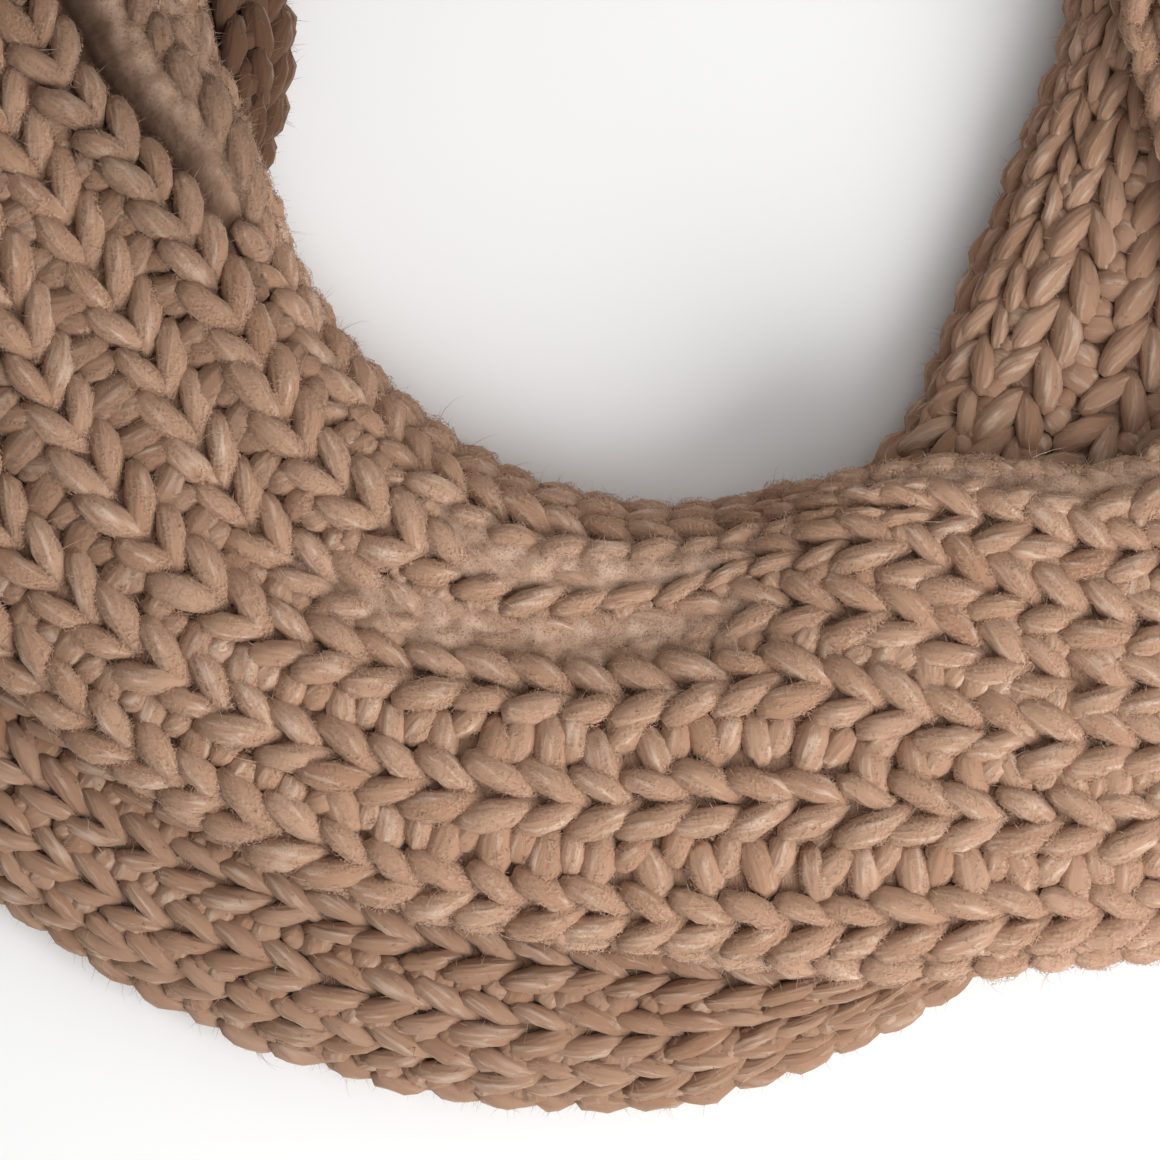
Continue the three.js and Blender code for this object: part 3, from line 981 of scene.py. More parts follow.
class StitchTree(GeometryTree):
    """Lays stitch legs and the recesses' bumps on points that carry their directions and sizes."""

    INPUTS = (
        ("Sides", "INT"), ("Rings", "INT"), ("Variation", "FLOAT"), ("Wobble", "FLOAT"),
        ("Lumps", "FLOAT"), ("Grow", "FLOAT"), ("Seed", "INT"), ("Yarn", "MATERIAL"),
    )

    def __init__(self) -> None:
        """Builds the tree."""
        super().__init__("lay stitches", self.INPUTS)
        g, entry = self.graph, self.entry
        points = g.node("GeometryNodeMeshToPoints", None, {0: entry.out("Geometry")}).out()
        turned = g.node("FunctionNodeAxesToRotation", {"primary_axis": "Z", "secondary_axis": "X"}, {
            0: self.attribute("up", "FLOAT_VECTOR"), 1: self.attribute("axis", "FLOAT_VECTOR")}).out()
        wobble = entry.out("Wobble")
        low = g.vector(wobble * -1, wobble * -0.7, wobble * -1)
        high = g.vector(wobble, wobble * 0.7, wobble)
        shake = g.random("FLOAT_VECTOR", low, high, entry.out("Seed"))
        rotation = g.node("FunctionNodeRotateRotation", {"rotation_space": "LOCAL"}, {
            0: turned, 1: g.node("FunctionNodeEulerToRotation", None, {0: shake})}).out()
        vary = entry.out("Variation")
        grow = g.random("FLOAT", 1 - vary, 1 + vary, entry.out("Seed") + 5)
        size = g.scaled(self.attribute("size", "FLOAT_VECTOR"), grow)
        kind = self.attribute("kind")
        shapes = ((self.leg(1), Part.INNER_LEG), (self.leg(-1), Part.OUTER_LEG), (self.bump(), Part.BUMP))
        joined = g.node("GeometryNodeJoinGeometry")
        for shape, part in shapes:
            chosen = (kind > part - 0.5) * (1 - (kind > part + 0.5))
            laid = g.node("GeometryNodeInstanceOnPoints", None, {
                "Points": points, "Selection": chosen, "Instance": shape, "Rotation": rotation,
                "Scale": size})
            g.tree.links.new(laid.out().socket, joined.node.inputs[0])
        real = g.node("GeometryNodeRealizeInstances", None, {0: joined})
        grain = g.grain(g.node("GeometryNodeInputPosition"), 420.0, 1.0, normalize=False)
        offset = g.scaled(g.node("GeometryNodeInputNormal"), grain * entry.out("Lumps"))
        lumpy = g.node("GeometryNodeSetPosition", None, {"Geometry": real, "Offset": offset})
        self.close(lumpy, entry.out("Yarn"))

    def leg(self, side: int) -> Flow:
        """One leg of a stitch, a plump strand that leans to the middle of its rib.

        Args:
            side: 1 for the leg on the ring's inner side, -1 for the other.

        Returns:
            Its mesh, in millimetres for a full-size stitch.
        """
        def radius(place: Flow) -> Flow:
            """Plump, and a little thinner towards the tip."""
            swell = self.graph.maths("SINE", (place * 0.84 + 0.08) * math.pi) ** 0.42
            return swell * (3.2 - place * 0.5) + self.entry.out("Grow")

        bend = ((-4.9, side * 5.2, -0.6), (0.6, side * 4.4, 2.7), (7.6, side * -0.1, -1.8))
        return self.tube(bend, 0, 11, radius)

    def bump(self) -> Flow:
        """The short oval bump of a purl stitch, of unit size, in the recess between two ribs."""
        def radius(place: Flow) -> Flow:
            """Nearly even, with round ends."""
            swell = self.graph.maths("SINE", (place * 0.82 + 0.09) * math.pi) ** 0.35
            return swell + self.entry.out("Grow") * 0.25

        return self.tube(((-0.1, -0.95, -0.35), (0.15, 0.0, 0.5), (-0.1, 0.95, -0.35)), 1, 7, radius)

    def tube(self, bend: Sequence[Sequence[float]], fewer: int, length: float,
             radius: Callable[[Flow], Flow]) -> Flow:
        """A capped tube along a bent path, with the attribute strand.

        Args:
            bend: start, middle and end of the path.
            fewer: how many sides and rings it has less than the tree's inputs say.
            length: of the strand, in the units of the yarn's streaks.
            radius: works out its radius from the place along it, from 0 to 1.

        Returns:
            Its mesh.
        """
        g, entry = self.graph, self.entry
        path = g.node("GeometryNodeCurveQuadraticBezier", None, {
            "Resolution": entry.out("Rings") - fewer, **dict(zip(("Start", "Middle", "End"), bend))}).out()
        place = g.node("GeometryNodeSplineParameter").out("Factor")
        ring = g.node("GeometryNodeCurvePrimitiveCircle", {"mode": "RADIUS"}, {
            "Resolution": entry.out("Sides") - fewer, "Radius": 1.0}).out()
        around = self.store(ring, "around", "FLOAT_VECTOR", g.node("GeometryNodeInputPosition"))
        tube = g.node("GeometryNodeCurveToMesh", None, {
            "Curve": self.store(path, "along", "FLOAT", place * length), "Profile Curve": around,
            "Fill Caps": True, "Scale": radius(place)})
        side = g.parts(self.attribute("around", "FLOAT_VECTOR"))[0]
        lift = g.parts(g.node("GeometryNodeInputNormal"))[2]
        strand = g.vector(self.attribute("along"), side, lift)
        return self.store(tube, "strand", "FLOAT_VECTOR", strand)


class FuzzTree(GeometryTree):
    """Scatters fine bent fibres over a knitted surface, denser where it is felted."""

    INPUTS = (
        ("Density", "FLOAT"), ("Length", "FLOAT"), ("Thickness", "FLOAT"), ("Lift", "FLOAT"),
        ("Seed", "INT"), ("Yarn", "MATERIAL"),
    )

    def __init__(self) -> None:
        """Builds the tree."""
        super().__init__("scatter fuzz", self.INPUTS)
        g, entry = self.graph, self.entry
        rise = g.parts(self.attribute("strand", "FLOAT_VECTOR"))[2]
        density = entry.out("Density") * (self.attribute("felt") * 4 + 1) * (rise > -0.05)
        joined = g.node("GeometryNodeJoinGeometry")
        for shape, share, growth in ((self.fibre(), 0.03, 2.3), (self.tip(), 1.0, 1.0)):
            laid = self.scatter(shape, density * share, growth)
            g.tree.links.new(laid.socket, joined.node.inputs[0])
        self.close(joined, entry.out("Yarn"))

    def scatter(self, shape: Flow, density: Flow, growth: float) -> Flow:
        """Scatters one kind of fibre.

        Args:
            shape: the fibre, of unit length.
            density: fibres on a square metre.
            growth: its length, in terms of the tree's own.

        Returns:
            The instances.
        """
        g, entry = self.graph, self.entry
        spread = g.node("GeometryNodeDistributePointsOnFaces", {"distribute_method": "RANDOM"}, {
            "Mesh": entry.out("Geometry"), "Density": density, "Seed": entry.out("Seed")})
        stray = g.random("FLOAT_VECTOR", (-1.0, -1.0, -1.0), (1.0, 1.0, 1.0), entry.out("Seed") + 3)
        risen = g.scaled(spread.out("Normal"), entry.out("Lift"))
        x, y, z = g.parts(g.vector_maths("ADD", risen, stray))
        heading = g.vector(x, y, g.maths("MAXIMUM", z, -0.1))
        rotation = g.node("FunctionNodeAlignRotationToVector", {"axis": "Z"}, {"Vector": heading}).out()
        size = g.random("FLOAT", 0.45, 1.3, entry.out("Seed") + 9) * entry.out("Length") * growth
        scale = g.vector(size, size, size)
        return g.node("GeometryNodeInstanceOnPoints", None, {
            "Points": spread.out("Points"), "Instance": shape, "Rotation": rotation, "Scale": scale}).out()

    def tip(self) -> Flow:
        """One short straight fibre of unit length, a slim three-sided spike."""
        return self.graph.node("GeometryNodeMeshCone", None, {
            "Vertices": 3, "Radius Top": 0.0, "Radius Bottom": self.entry.out("Thickness"),
            "Depth": 1.0}).out("Mesh")

    def fibre(self) -> Flow:
        """One fibre of unit length, a bent three-sided strand that thins to its tip."""
        g = self.graph
        path = g.node("GeometryNodeCurveQuadraticBezier", None, {
            "Resolution": 3, "Start": (0.0, 0.0, -0.04), "Middle": (0.1, 0.05, 0.6),
            "End": (0.55, 0.1, 0.8)}).out()
        factor = g.node("GeometryNodeSplineParameter").out("Factor")
        ring = g.node("GeometryNodeCurvePrimitiveCircle", {"mode": "RADIUS"}, {
            "Resolution": 3, "Radius": 1.0}).out()
        thin = (1.15 - factor) * self.entry.out("Thickness") * 0.5
        return g.node("GeometryNodeCurveToMesh", None, {
            "Curve": path, "Profile Curve": ring, "Fill Caps": True, "Scale": thin}).out()


@dataclass
class Winding:
    """One winding of the band: its surface, where it is felted, and where its stitches lie."""

    surface: BandSurface
    felt: tuple[FeltPatch, ...] = ()
    crowded: tuple[float, float] = (0.0, 0.0)  # turns between which every second rib is lost in a fold
    leg_row: float = 9.6  # row pitch that the leg is drawn for
    leg_column: float = 14.0  # column width that the leg is drawn for
    leg_depth: float = 1.3  # of a leg's middle under the surface, where nothing is felted
    bump_depth: float = 2.1  # the same, of a bump
    column: float = 13.4  # full width of a rib's column
    open_crease: float = 6.0  # depth of the crease that pulls the legs beside it out of sight
    shut_crease: float = 3.0  # depth up to which the crease has bumps
    margin: float = 9.0  # how far under an edge a stitch still shows
    buried: float = 12.0  # depth under another crown at which it never shows
    lowest: float = 2.6  # height under which no stitch lies

    def felting(self, turn: np.ndarray, lane: np.ndarray) -> np.ndarray:
        """How felted the knit is.

        Args:
            turn: turns in degrees.
            lane: lanes.

        Returns:
            Values from 0 to 1.
        """
        total = np.zeros(np.broadcast(turn, lane).shape)
        for patch in self.felt:
            total = np.maximum(total, patch.at(turn, lane))
        return total

    def pitch(self, lane: float) -> float:
        """Length of a row on a lane: the ribs by the neck opening are knitted tighter."""
        return float(np.interp(lane, (0, 1, 2, 3, 5), (8.3, 8.3, 9.0, 9.3, 9.6)))

    def along(self, lane: float, phase: float) -> tuple[np.ndarray, float]:
        """Turns of the rows on a lane.

        Args:
            lane: the lane.
            phase: how far the first row is moved, in rows.

        Returns:
            Turns of the rows, and the true row length.
        """
        surface = self.surface
        full = np.full(len(surface.turns), lane)
        path = surface.sample(surface.points, surface.turns, full)
        length = np.concatenate([[0], np.cumsum(np.linalg.norm(np.diff(path, axis=0), axis=1))])
        rows = max(1, round(length[-1] / self.pitch(lane)))
        step = length[-1] / rows
        return np.interp((np.arange(rows) + phase) * step, length, surface.turns), step

    def in_crowd(self, turn: np.ndarray) -> np.ndarray:
        """True where every second rib is lost in a fold."""
        return (turn > self.crowded[0]) & (turn < self.crowded[1])

    def stitches(self) -> dict[str, np.ndarray]:
        """Lays out every leg and bump.

        Returns:
            Arrays for turn, lane, kind, point, axis, up, size, tone and felt.
        """
        rng = np.random.default_rng(SEED)
        found: list[dict[str, np.ndarray]] = []
        last_lane = self.surface.rib_count - 1
        for lane in range(-1, last_lane + 2):
            by_crease = lane == CREASE_LANE - 0.5
            turns, step = self.along(lane, 0.5)
            lost = self.in_crowd(turns) & (lane % 2 == 1) & (0 < lane < last_lane)
            sunk = by_crease & (self.surface.table.at(turns)["crease"] > self.open_crease)
            rows = [(turns[~lost], Part.INNER_LEG), (turns[~lost & ~sunk], Part.OUTER_LEG),
                    (turns[lost], Part.BUMP), (turns[lost], Part.SMALL_BUMP)]
            found += [self.items(where, lane, kind, step, rng) for where, kind in rows]
            if lane == last_lane + 1:
                continue
            turns, step = self.along(lane + 0.5, 0.2)
            kept = ~self.in_crowd(turns) if 0 <= lane < last_lane else np.ones(len(turns), bool)
            if by_crease:
                kept = kept & (self.surface.table.at(turns)["crease"] < self.shut_crease)
            for kind in (Part.BUMP, Part.SMALL_BUMP):
                found.append(self.items(turns[kept], lane + 0.5, kind, step, rng))
        found = [part for part in found if len(part["turn"])]
        return {key: np.concatenate([part[key] for part in found]) for key in found[0]}

    def items(self, turn: np.ndarray, lane: float, kind: Part, step: float,
              rng: np.random.Generator) -> dict[str, np.ndarray]:
        """Places, directions and sizes of one kind of stitch part on one lane.

        Args:
            turn: turns of the rows.
            lane: the lane.
            kind: the part.
            step: row length.
            rng: source of the small differences.

        Returns:
            Arrays by name, one item for each row.
        """
        surface, count = self.surface, len(turn)
        turn_step = math.degrees(step / 150)  # of a row, at the ring's mean radius
        lane = np.full(count, float(lane))
        spacing = surface.rib_spacing(turn, lane) * np.where(self.in_crowd(turn), 2, 1)
        column = np.minimum(self.column, spacing)
        stretch = step / self.leg_row
        own_side = {Part.INNER_LEG: -0.3, Part.OUTER_LEG: 0.3}.get(kind, 0.0)  # of the rib's crest, in lanes
        felt = self.felting(turn, lane + own_side)
        if kind == Part.SMALL_BUMP:
            turn = turn + 0.45 * turn_step
        shifted = lane
        if kind >= Part.BUMP:
            gap = np.clip(spacing - column, 0.5, 8)
            lean = -0.22 if kind == Part.SMALL_BUMP else 0.06
            shifted = lane + (lean + rng.normal(0, 0.14, count)) * gap / np.maximum(spacing, 4)
        turn = turn + rng.normal(0, 0.04, count) * turn_step
        shifted = shifted + rng.normal(0, 0.3, count) / np.maximum(spacing, 6)
        point, up = surface.place(turn, shifted)
        axis = surface.unit(surface.sample(surface.along, turn, shifted))
        axis = surface.unit(axis - up * (axis * up).sum(axis=1, keepdims=True))
        if kind < Part.BUMP:
            narrow = column / self.leg_column
            size = (np.full(count, stretch), narrow, 0.35 + 0.65 * (narrow + stretch) / 2)
            sink = self.leg_depth + 2.6 * felt * felt
        else:
            # Half its length, half its width for each millimetre of the gap and at least, half its height,
            # and its turn against the row.
            shape = (3.7, 0.4, 1.1, 3.1, 0.25) if kind == Part.BUMP else (3.2, 0.3, 1.0, 3.0, -0.3)
            long, wide, least, thick, skew = shape
            gap = np.clip(spacing - column + 2.6, 1.8, 9.4)
            size = (np.full(count, long * stretch), wide * gap + least, np.full(count, thick))
            sink = self.bump_depth + 1.2 * felt
            tilt = rng.normal(skew, 0.2, count)[:, None]
            axis = axis * np.cos(tilt) + np.cross(up, axis) * np.sin(tilt)
        return {
            "turn": turn, "lane": lane, "kind": np.full(count, float(min(kind, Part.BUMP))),
            "point": point - up * sink[:, None], "axis": axis, "up": up, "size": np.stack(size, axis=1),
            "tone": np.clip(rng.normal(0.5, 0.2, count), 0, 1), "felt": felt,
        }

    def visible(self, others: Sequence["Winding"]) -> dict[str, np.ndarray]:
        """The stitches that don't lie under a winding of the band, or under the band's own edge.

        Args:
            others: windings that may cover them, this one too.

        Returns:
            What stitches() returns, without the hidden ones.
        """
        plan = self.stitches()
        radius = np.hypot(plan["point"][:, 0], plan["point"][:, 1])
        height = plan["point"][:, 2]
        covered = height < self.lowest
        for other in others:
            first, last = other.surface.turns[[0, -1]]
            for laps in (-2, -1, 0, 1, 2):
                turn = plan["turn"] + 360 * laps
                inside = (turn >= first) & (turn <= last)
                if (laps == 0 and other is self) or not inside.any():
                    continue
                row = other.surface.table.at(turn)
                within = inside & (radius > row["inner"] + self.margin)
                within &= radius < row["outer"] - self.margin
                low = underside(row, radius[:, None])[:, 0]
                covered |= within & (low >= height - 1.0) & (low > 1.0)
                covered |= within & (height < row["crown"] - self.buried)
        return {key: value[~covered] for key, value in plan.items()}


@dataclass
class Stretch:
    """One stretch of the band that shows, with its base cloth, its stitches and its fuzz."""

    name: str
    winding: Winding
    first: float
    last: float
    sides: int = 8  # of a stitch leg
    rings: int = 6
    hairs: float = 1.0  # share of the full density of fibres
    shade: float = 0.0  # painted shade: how much deeper its colour is, in the shelter of the layers above
    near: bool = False  # near enough to the camera for a net of fibres round the strands
    station: float = 4.0  # length between two sections of the base cloth
    cloth: float = 3.0  # thickness of the cloth
    under_leg: float = 2.5  # depth of the base cloth under a rib
    under_bump: float = 2.7  # the same, in a recess
    least_depth: float = 0.15  # the same, anywhere
    hem: float = 5.0  # height over the underside up to which it is shallower
    grain: float = 0.35  # how fine the yarn's streaks are on the base cloth
    recess_shade: float = 0.4  # painted shade: how much deeper the colour is in the deepest recesses
    rib_shade: float = 0.07  # the same, on the ribs beside them
    crease_shade: float = 0.97  # the same, at the bottom of the crease
    veil_turn: float = 0.8  # turn between two points of the matted fibres
    veil_lane: float = 0.125  # the same, in lanes
    veil_height: float = 0.1  # of the matted fibres over the surface
    veil_lump: float = 1.8  # of their unevenness

    @property
    def surface(self) -> BandSurface:
        """The surface of its winding."""
        return self.winding.surface

    def painted_shade(self, turn: np.ndarray, lane: np.ndarray, recess: np.ndarray) -> np.ndarray:
        """Painted shade: how much deeper the colour is, from 0 to 1, before the crease is counted.

        Args:
            turn: turns in degrees.
            lane: lanes.
            recess: how much painted shade there is where the recesses are deepest.

        Returns:
            Values in the shape of turn.
        """
        by_layers = np.maximum(self.shade, WRAP_PAINTED_SHADE.at(turn, lane) if self.winding.felt else 0)
        return np.maximum(by_layers, recess * upper_left_shade(turn))

    def own_part(self, plan: dict[str, np.ndarray]) -> dict[str, np.ndarray]:
        """The stitches of its winding that lie on this stretch, each with its painted shade.

        Args:
            plan: the winding's stitches.

        Returns:
            Arrays by name, one item for each leg or bump.
        """
        at_end = self.last == self.surface.turns[-1]  # where it takes the winding's last row too
        last = self.last + 5 if at_end else self.last
        inside = (plan["turn"] >= self.first) & (plan["turn"] < last)
        own = {key: value[inside] for key, value in plan.items()}
        # Painted shade: deeper on the bumps in the recesses than on the ribs, under the layers above, and by
        # the crease.
        recess = np.where(own["kind"] == Part.BUMP, self.recess_shade, self.rib_shade)
        painted_shade = self.painted_shade(own["turn"], own["lane"], recess)
        crease = creased(self.surface.table.at(own["turn"])["crease"], own["lane"])
        own["shade"] = painted_shade + (0.9 - painted_shade) * np.clip(crease * 2.5, 0, 0.5)
        return own

    def sections(self) -> tuple[np.ndarray, ...]:
        """Closed sections of the base cloth.

        Returns:
            Points over turns and places round the section, and the felting, hollowness and painted shade
            there.
        """
        surface = self.surface
        row = surface.table.at(np.array([(self.first + self.last) / 2]))
        middle = float((row["inner"][0] + row["outer"][0]) / 2)
        count = max(4, int(math.radians(self.last - self.first) * middle / self.station))
        turns = np.linspace(self.first, self.last, count + 1)
        row = surface.table.at(turns)
        last_lane = surface.rib_count - 1
        lanes = np.concatenate([
            np.linspace(-1.9, -0.2, 9), np.arange(0, last_lane + 0.01, 0.25),
            np.linspace(last_lane + 0.2, last_lane + 1.9, 9)])
        turn_grid, lane_grid = np.meshgrid(turns, lanes, indexing="ij")
        places, normals = surface.place(turn_grid.ravel(), lane_grid.ravel())
        points, normal = places.reshape(*turn_grid.shape, 3), normals.reshape(*turn_grid.shape, 3)
        felt = self.winding.felting(turn_grid, lane_grid)
        hollow = 0.5 - 0.5 * np.cos(2 * np.pi * lane_grid)
        sunk = (self.under_leg + (self.under_bump - self.under_leg) * hollow) * (1 - 0.5 * felt)
        calm = smooth((points[..., 2] - underside(row, np.hypot(points[..., 0], points[..., 1]))) / self.hem)
        sunk = np.maximum(sunk * calm, self.least_depth)
        lumps = lumpiness(places, (7.0, 1.0), (3.0, 0.5)).reshape(sunk.shape)
        sunk = np.maximum(sunk + lumps * 0.3, self.least_depth)
        top = points - normal * sunk[..., None]
        top[..., 2] = np.maximum(top[..., 2], TOP_GAP)
        # Painted shade under the layers above, in the recesses and at the bottom of the crease.
        painted_shade = self.painted_shade(turn_grid, lane_grid, self.recess_shade * hollow)
        shade = painted_shade + (self.crease_shade - painted_shade) * creased(row["crease"][:, None], lane_grid)
        return self.close_under(row, turns, top, (felt, hollow, shade))

    def close_under(self, row: dict[str, np.ndarray], turns: np.ndarray, top: np.ndarray,
                    values: Sequence[np.ndarray]) -> tuple[np.ndarray, ...]:
        """Adds the underside to the sections.

        Args:
            row: the band's values at the turns.
            turns: turns of the sections.
            top: points from the inner to the outer edge.
            values: arrays of numbers at those points.

        Returns:
            The closed sections, and the same arrays with 0 underneath.
        """
        radius = np.hypot(top[..., 0], top[..., 1])
        first, last = radius[:, :1], radius[:, -1:]
        # The limits keep the points in order where the stretch is narrow.
        sole_in = np.maximum((row["inner"] + row["tuck_in"])[:, None], first + 0.6)
        sole_out = np.minimum((row["outer"] - row["tuck_out"])[:, None], last - 0.6)
        foot_in = np.maximum(sole_in - FOOT_STEP, first + 0.3)
        foot_out = np.minimum(sole_out + FOOT_STEP, last - 0.3)
        line = [foot_out, (foot_out + sole_out) / 2, sole_out]
        line += [sole_out + (sole_in - sole_out) * share for share in (0.25, 0.5, 0.75)]
        line += [sole_in, (sole_in + foot_in) / 2, foot_in]
        under_r = np.concatenate(line, axis=1)
        under_z = np.maximum(underside(row, under_r), 0) + SOLE_GAP
        angle = np.radians(turns)[:, None]
        under = np.stack([under_r * np.sin(angle), -under_r * np.cos(angle), under_z], axis=2)
        points = np.concatenate([top, under], axis=1)
        none = np.zeros(under_r.shape)
        return points, *(np.concatenate([value, none], axis=1) for value in values)

    def base(self, material: bpy.types.Material) -> tuple[bpy.types.Object, tuple[float, float]]:
        """Builds the base cloth, a closed tube with a wall.

        Args:
            material: its finish.

        Returns:
            The piece, and the flat size of its cloth, in metres.
        """
        points, felt, hollow, shade = self.sections()
        rings, size = points.shape[:2]
        faces = []
        for i in range(rings - 1):
            for j in range(size):
                k = (j + 1) % size
                faces.append((i * size + j, i * size + k, (i + 1) * size + k, (i + 1) * size + j))
        faces.append(tuple(reversed(range(size))))
        faces.append(tuple((rings - 1) * size + j for j in range(size)))
        mesh = add_mesh(f"{self.name}_cloth", points.reshape(-1, 3), faces)
        strand = points.reshape(-1, 3) * self.grain
        # The strand's height, which the yarn's painted shade and highlights read: darker in the recesses,
        # paler where felted.
        strand[:, 2] = (-0.3 - 0.2 * hollow + 1.3 * felt).ravel()
        set_attributes(mesh, felt=felt, tone=np.full(felt.size, 0.4), shade=shade, strand=strand)
        girth = np.linalg.norm(points - np.roll(points, -1, axis=1), axis=2).sum(axis=1).mean()
        path = np.linalg.norm(np.diff(points, axis=0), axis=2).sum(axis=0).mean()
        return walled(mesh, self.cloth, material), (float(girth) * MM, float(path) * MM)

    def veil(self, material: bpy.types.Material) -> bpy.types.Object:
        """Builds the matted fibres that lie over the stitches where the knit is felted.

        Args:
            material: its finish.

        Returns:
            The piece.
        """
        turns = np.arange(self.first, self.last + 0.01, self.veil_turn)
        lanes = np.arange(-1, self.surface.rib_count + 0.01, self.veil_lane)
        turn_grid, lane_grid = np.meshgrid(turns, lanes, indexing="ij")
        felt = self.winding.felting(turn_grid, lane_grid)
        points, normal = self.surface.place(turn_grid.ravel(), lane_grid.ravel())
        lumps = lumpiness(points, (3.2, self.veil_lump))
        points = points + normal * (self.veil_height + lumps)[:, None]
        corner = np.arange(felt.size).reshape(felt.shape)
        around = (corner[:-1, :-1], corner[1:, :-1], corner[1:, 1:], corner[:-1, 1:])
        square = np.stack(around, axis=-1).reshape(-1, 4)
        square = square[felt.ravel()[square].min(axis=1) > VEIL_FROM]
        used, faces = np.unique(square, return_inverse=True)
        mesh = add_mesh(f"{self.name}_veil", points[used], faces.reshape(-1, 4))
        # The stretch's painted shade goes onto the matted fibres.
        set_attributes(mesh, shade=np.full(len(used), self.shade), felt=felt.ravel()[used] - VEIL_FROM)
        return walled(mesh, VEIL_WALL, material)


CLOTH = YarnFinish("felted base cloth", (190, 150, 124), (196, 168, 144), (58, 39, 28), streak=0.4)
YARN = YarnFinish("camel roving", (166, 127, 101), (214, 190, 170), (88, 62, 46), streak=0.6, fleck_highlight=0.3)
FUZZ = YarnFinish("loose fibres", (184, 152, 128), (220, 198, 180), (150, 120, 98), relief=0.0)
HALO = HaloFinish("halo of fibres", (188, 154, 130), (206, 176, 154), (70, 48, 35), 0.8, 0.2, 0.08)
MATTED = HaloFinish("matted fibres", (206, 168, 142), (226, 194, 170), (70, 48, 35), 0.0, 1.15, 0.3, 1.0)


@dataclass
class Scarf:
    """The whole scarf: its windings, their stretches and the finishes."""

    hair_density: float = 100000.0  # fibres on a square metre of plain knit
    hair_length: float = 0.0027
    hair_thickness: float = 0.019

    def build(self) -> None:
        finishes = {finish: finish.material() for finish in (CLOTH, YARN, FUZZ, HALO, MATTED)}
        trees = StitchTree(), FuzzTree()
        wrap = Winding(BandSurface(BandTable(7, WRAP_ROWS), -105, 380), WRAP_FELT, (148, 252))
        strap = Winding(BandSurface(BandTable(7, STRAP_ROWS), 380, 615), (), (442, 550))
        fold = Winding(BandSurface(BandTable(2, FOLD_ROWS), -130, -57))
        plans = {id(winding): winding.visible((wrap, strap)) for winding in (wrap, strap, fold)}
        for number, stretch in enumerate((
            Stretch("front_wrap", wrap, -105, 24, near=True),
            Stretch("right_wrap", wrap, 24, 105, hairs=0.7, near=True),
            Stretch("back_outer_wrap", wrap, 105, 255, sides=6, rings=4, hairs=0.25),
            Stretch("lower_wrap", wrap, 255, 380, hairs=1.2, shade=0.27),
            Stretch("right_strap", strap, 380, 465, hairs=0.8, shade=0.15),
            Stretch("back_inner_wrap", strap, 465, 615, sides=6, rings=4, hairs=0.25),
            Stretch("left_under_fold", fold, -130, -57, shade=0.96),
        )):
            self.dress(stretch, stretch.own_part(plans[id(stretch.winding)]), number, finishes, trees)

    def dress(self, stretch: Stretch, own: dict[str, np.ndarray], number: int,
              finishes: dict[Any, bpy.types.Material], trees: tuple[StitchTree, FuzzTree]) -> None:
        """Args:
            stretch: the stretch.
            own: its stitches.
            number: its place in the row of stretches, for the seeds.
            finishes: the materials, by finish.
            trees: what lays the stitches and what scatters the fibres.
        """
        stitch_tree, fuzz_tree = trees
        base, flat = stretch.base(finishes[CLOTH])
        source = add_mesh("stitch places", own["point"])
        set_attributes(source, size=own["size"] * MM, **{
            key: own[key] for key in ("axis", "up", "kind", "tone", "felt", "shade")})
        values = {"Sides": stretch.sides, "Rings": stretch.rings, "Variation": 0.1, "Wobble": 0.15,
                  "Lumps": 0.0007, "Grow": 0.0, "Seed": SEED + number, "Yarn": finishes[YARN]}
        stitches = stitch_tree.apply(source.copy(), f"{stretch.name}_stitches", values)
        loose = []
        if stretch.near:
            values.update({"Sides": 6, "Rings": 4, "Lumps": 0.0012, "Grow": 0.65, "Yarn": finishes[HALO]})
            loose.append(stitch_tree.apply(source.copy(), f"{stretch.name}_halo", values))
            loose.append(stretch.veil(finishes[MATTED]))
        hairs = fuzz_tree.apply(merged((stitches.data, base.data)), f"{stretch.name}_fuzz", {
            "Density": self.hair_density * stretch.hairs, "Length": self.hair_length, "Lift": 0.9,
            "Thickness": self.hair_thickness, "Seed": SEED + 40 + number, "Yarn": finishes[FUZZ]})
        for piece in (base, stitches, hairs, *loose):
            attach(piece, "root")
        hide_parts(stretch.name)
        faces = sum(len(piece.data.polygons) for piece in (base, stitches, hairs, *loose))
        LOG.info("%s: %d stitch parts, %d faces, flat %.3f x %.3f m",
                 stretch.name, len(own["turn"]), faces, *flat)


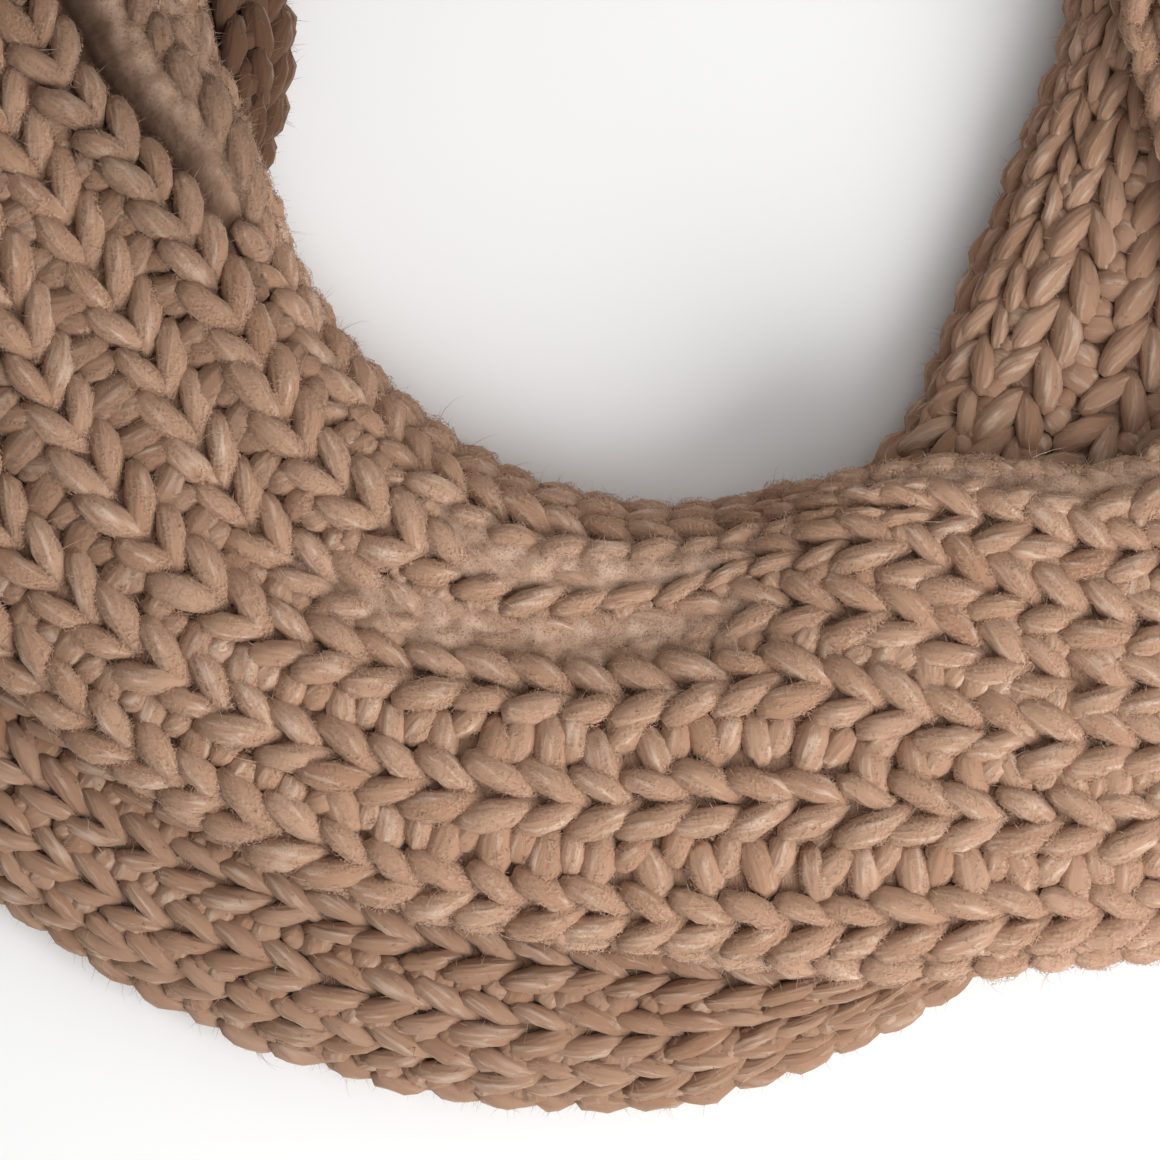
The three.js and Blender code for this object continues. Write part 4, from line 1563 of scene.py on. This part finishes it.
@dataclass
class Studio:
    """Floor, lights and camera."""

    photo_width: float = 0.2109  # what the picture shows across, at the height of the cloth
    aim: tuple[float, float] = (-0.01052, -0.12228)
    cloth_height: float = 0.040
    distance: float = 1.3
    floor_size: float = 6.0
    lit: tuple[float, float, float] = (0.0, -0.08, 0.0)  # what the lights look at
    sky: float = 0.28  # strength of the even light from all round

    def build(self) -> None:
        """Makes the floor, the lights and the camera."""
        self.floor()
        self.light("key light", (0.42, -0.58, 0.56), 0.6, 6.8)
        self.light("top light", (0.6, -0.5, 1.6), 1.4, 7.6)
        self.light("back fill", (0.9, 0.8, 1.2), 1.5, 6.0)
        world = bpy.data.worlds.new("soft surroundings")
        bpy.context.scene.world = world
        world.use_nodes = True
        world.node_tree.nodes.clear()
        g = Graph(world.node_tree)
        sky = g.node("ShaderNodeBackground", None, {"Color": (1.0, 1.0, 1.0, 1.0), "Strength": self.sky})
        g.node("ShaderNodeOutputWorld", None, {"Surface": sky})
        bpy.context.scene.view_settings.view_transform = "Standard"
        self.camera()

    def floor(self) -> None:
        """A plain pale floor."""
        half = self.floor_size / 2
        mesh = bpy.data.meshes.new("floor")
        edges = [(-half, -half, 0), (half, -half, 0), (half, half, 0), (-half, half, 0)]
        mesh.from_pydata(edges, [], [(0, 1, 2, 3)])
        mesh.materials.append(PlainFinish("pale floor", (244, 244, 244)).material())
        add_object("floor", mesh)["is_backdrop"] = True

    def light(self, name: str, place: tuple[float, float, float], size: float, power: float) -> None:
        """A soft square light that looks at the scarf.

        Args:
            name: its name.
            place: where it is, in metres.
            size: length of its side.
            power: in watts.
        """
        data = bpy.data.lights.new(name, "AREA")
        data.size, data.energy = size, power
        lamp = add_object(name, data)
        lamp.location = place
        lamp.rotation_euler = (Vector(self.lit) - Vector(place)).to_track_quat("-Z", "Y").to_euler()

    def camera(self) -> None:
        """A camera that looks straight down, with the photograph's framing."""
        data = bpy.data.cameras.new("camera")
        data.lens = data.sensor_width * self.distance / self.photo_width
        data.clip_start, data.clip_end = 0.05, 20
        eye = add_object("camera", data)
        eye.location = (*self.aim, self.cloth_height + self.distance)
        bpy.context.scene.camera = eye


def corners() -> list[list[float]]:
    """The whole object's box, as plain lists of numbers."""
    return [list(map(float, corner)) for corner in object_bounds()]


def main() -> None:
    """Loads the frame, then builds the studio and the scarf."""
    logging.basicConfig(level=logging.INFO, format="%(name)s: %(message)s")
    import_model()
    Studio().build()
    Scarf().build()


if __name__ == "__main__":
    main()
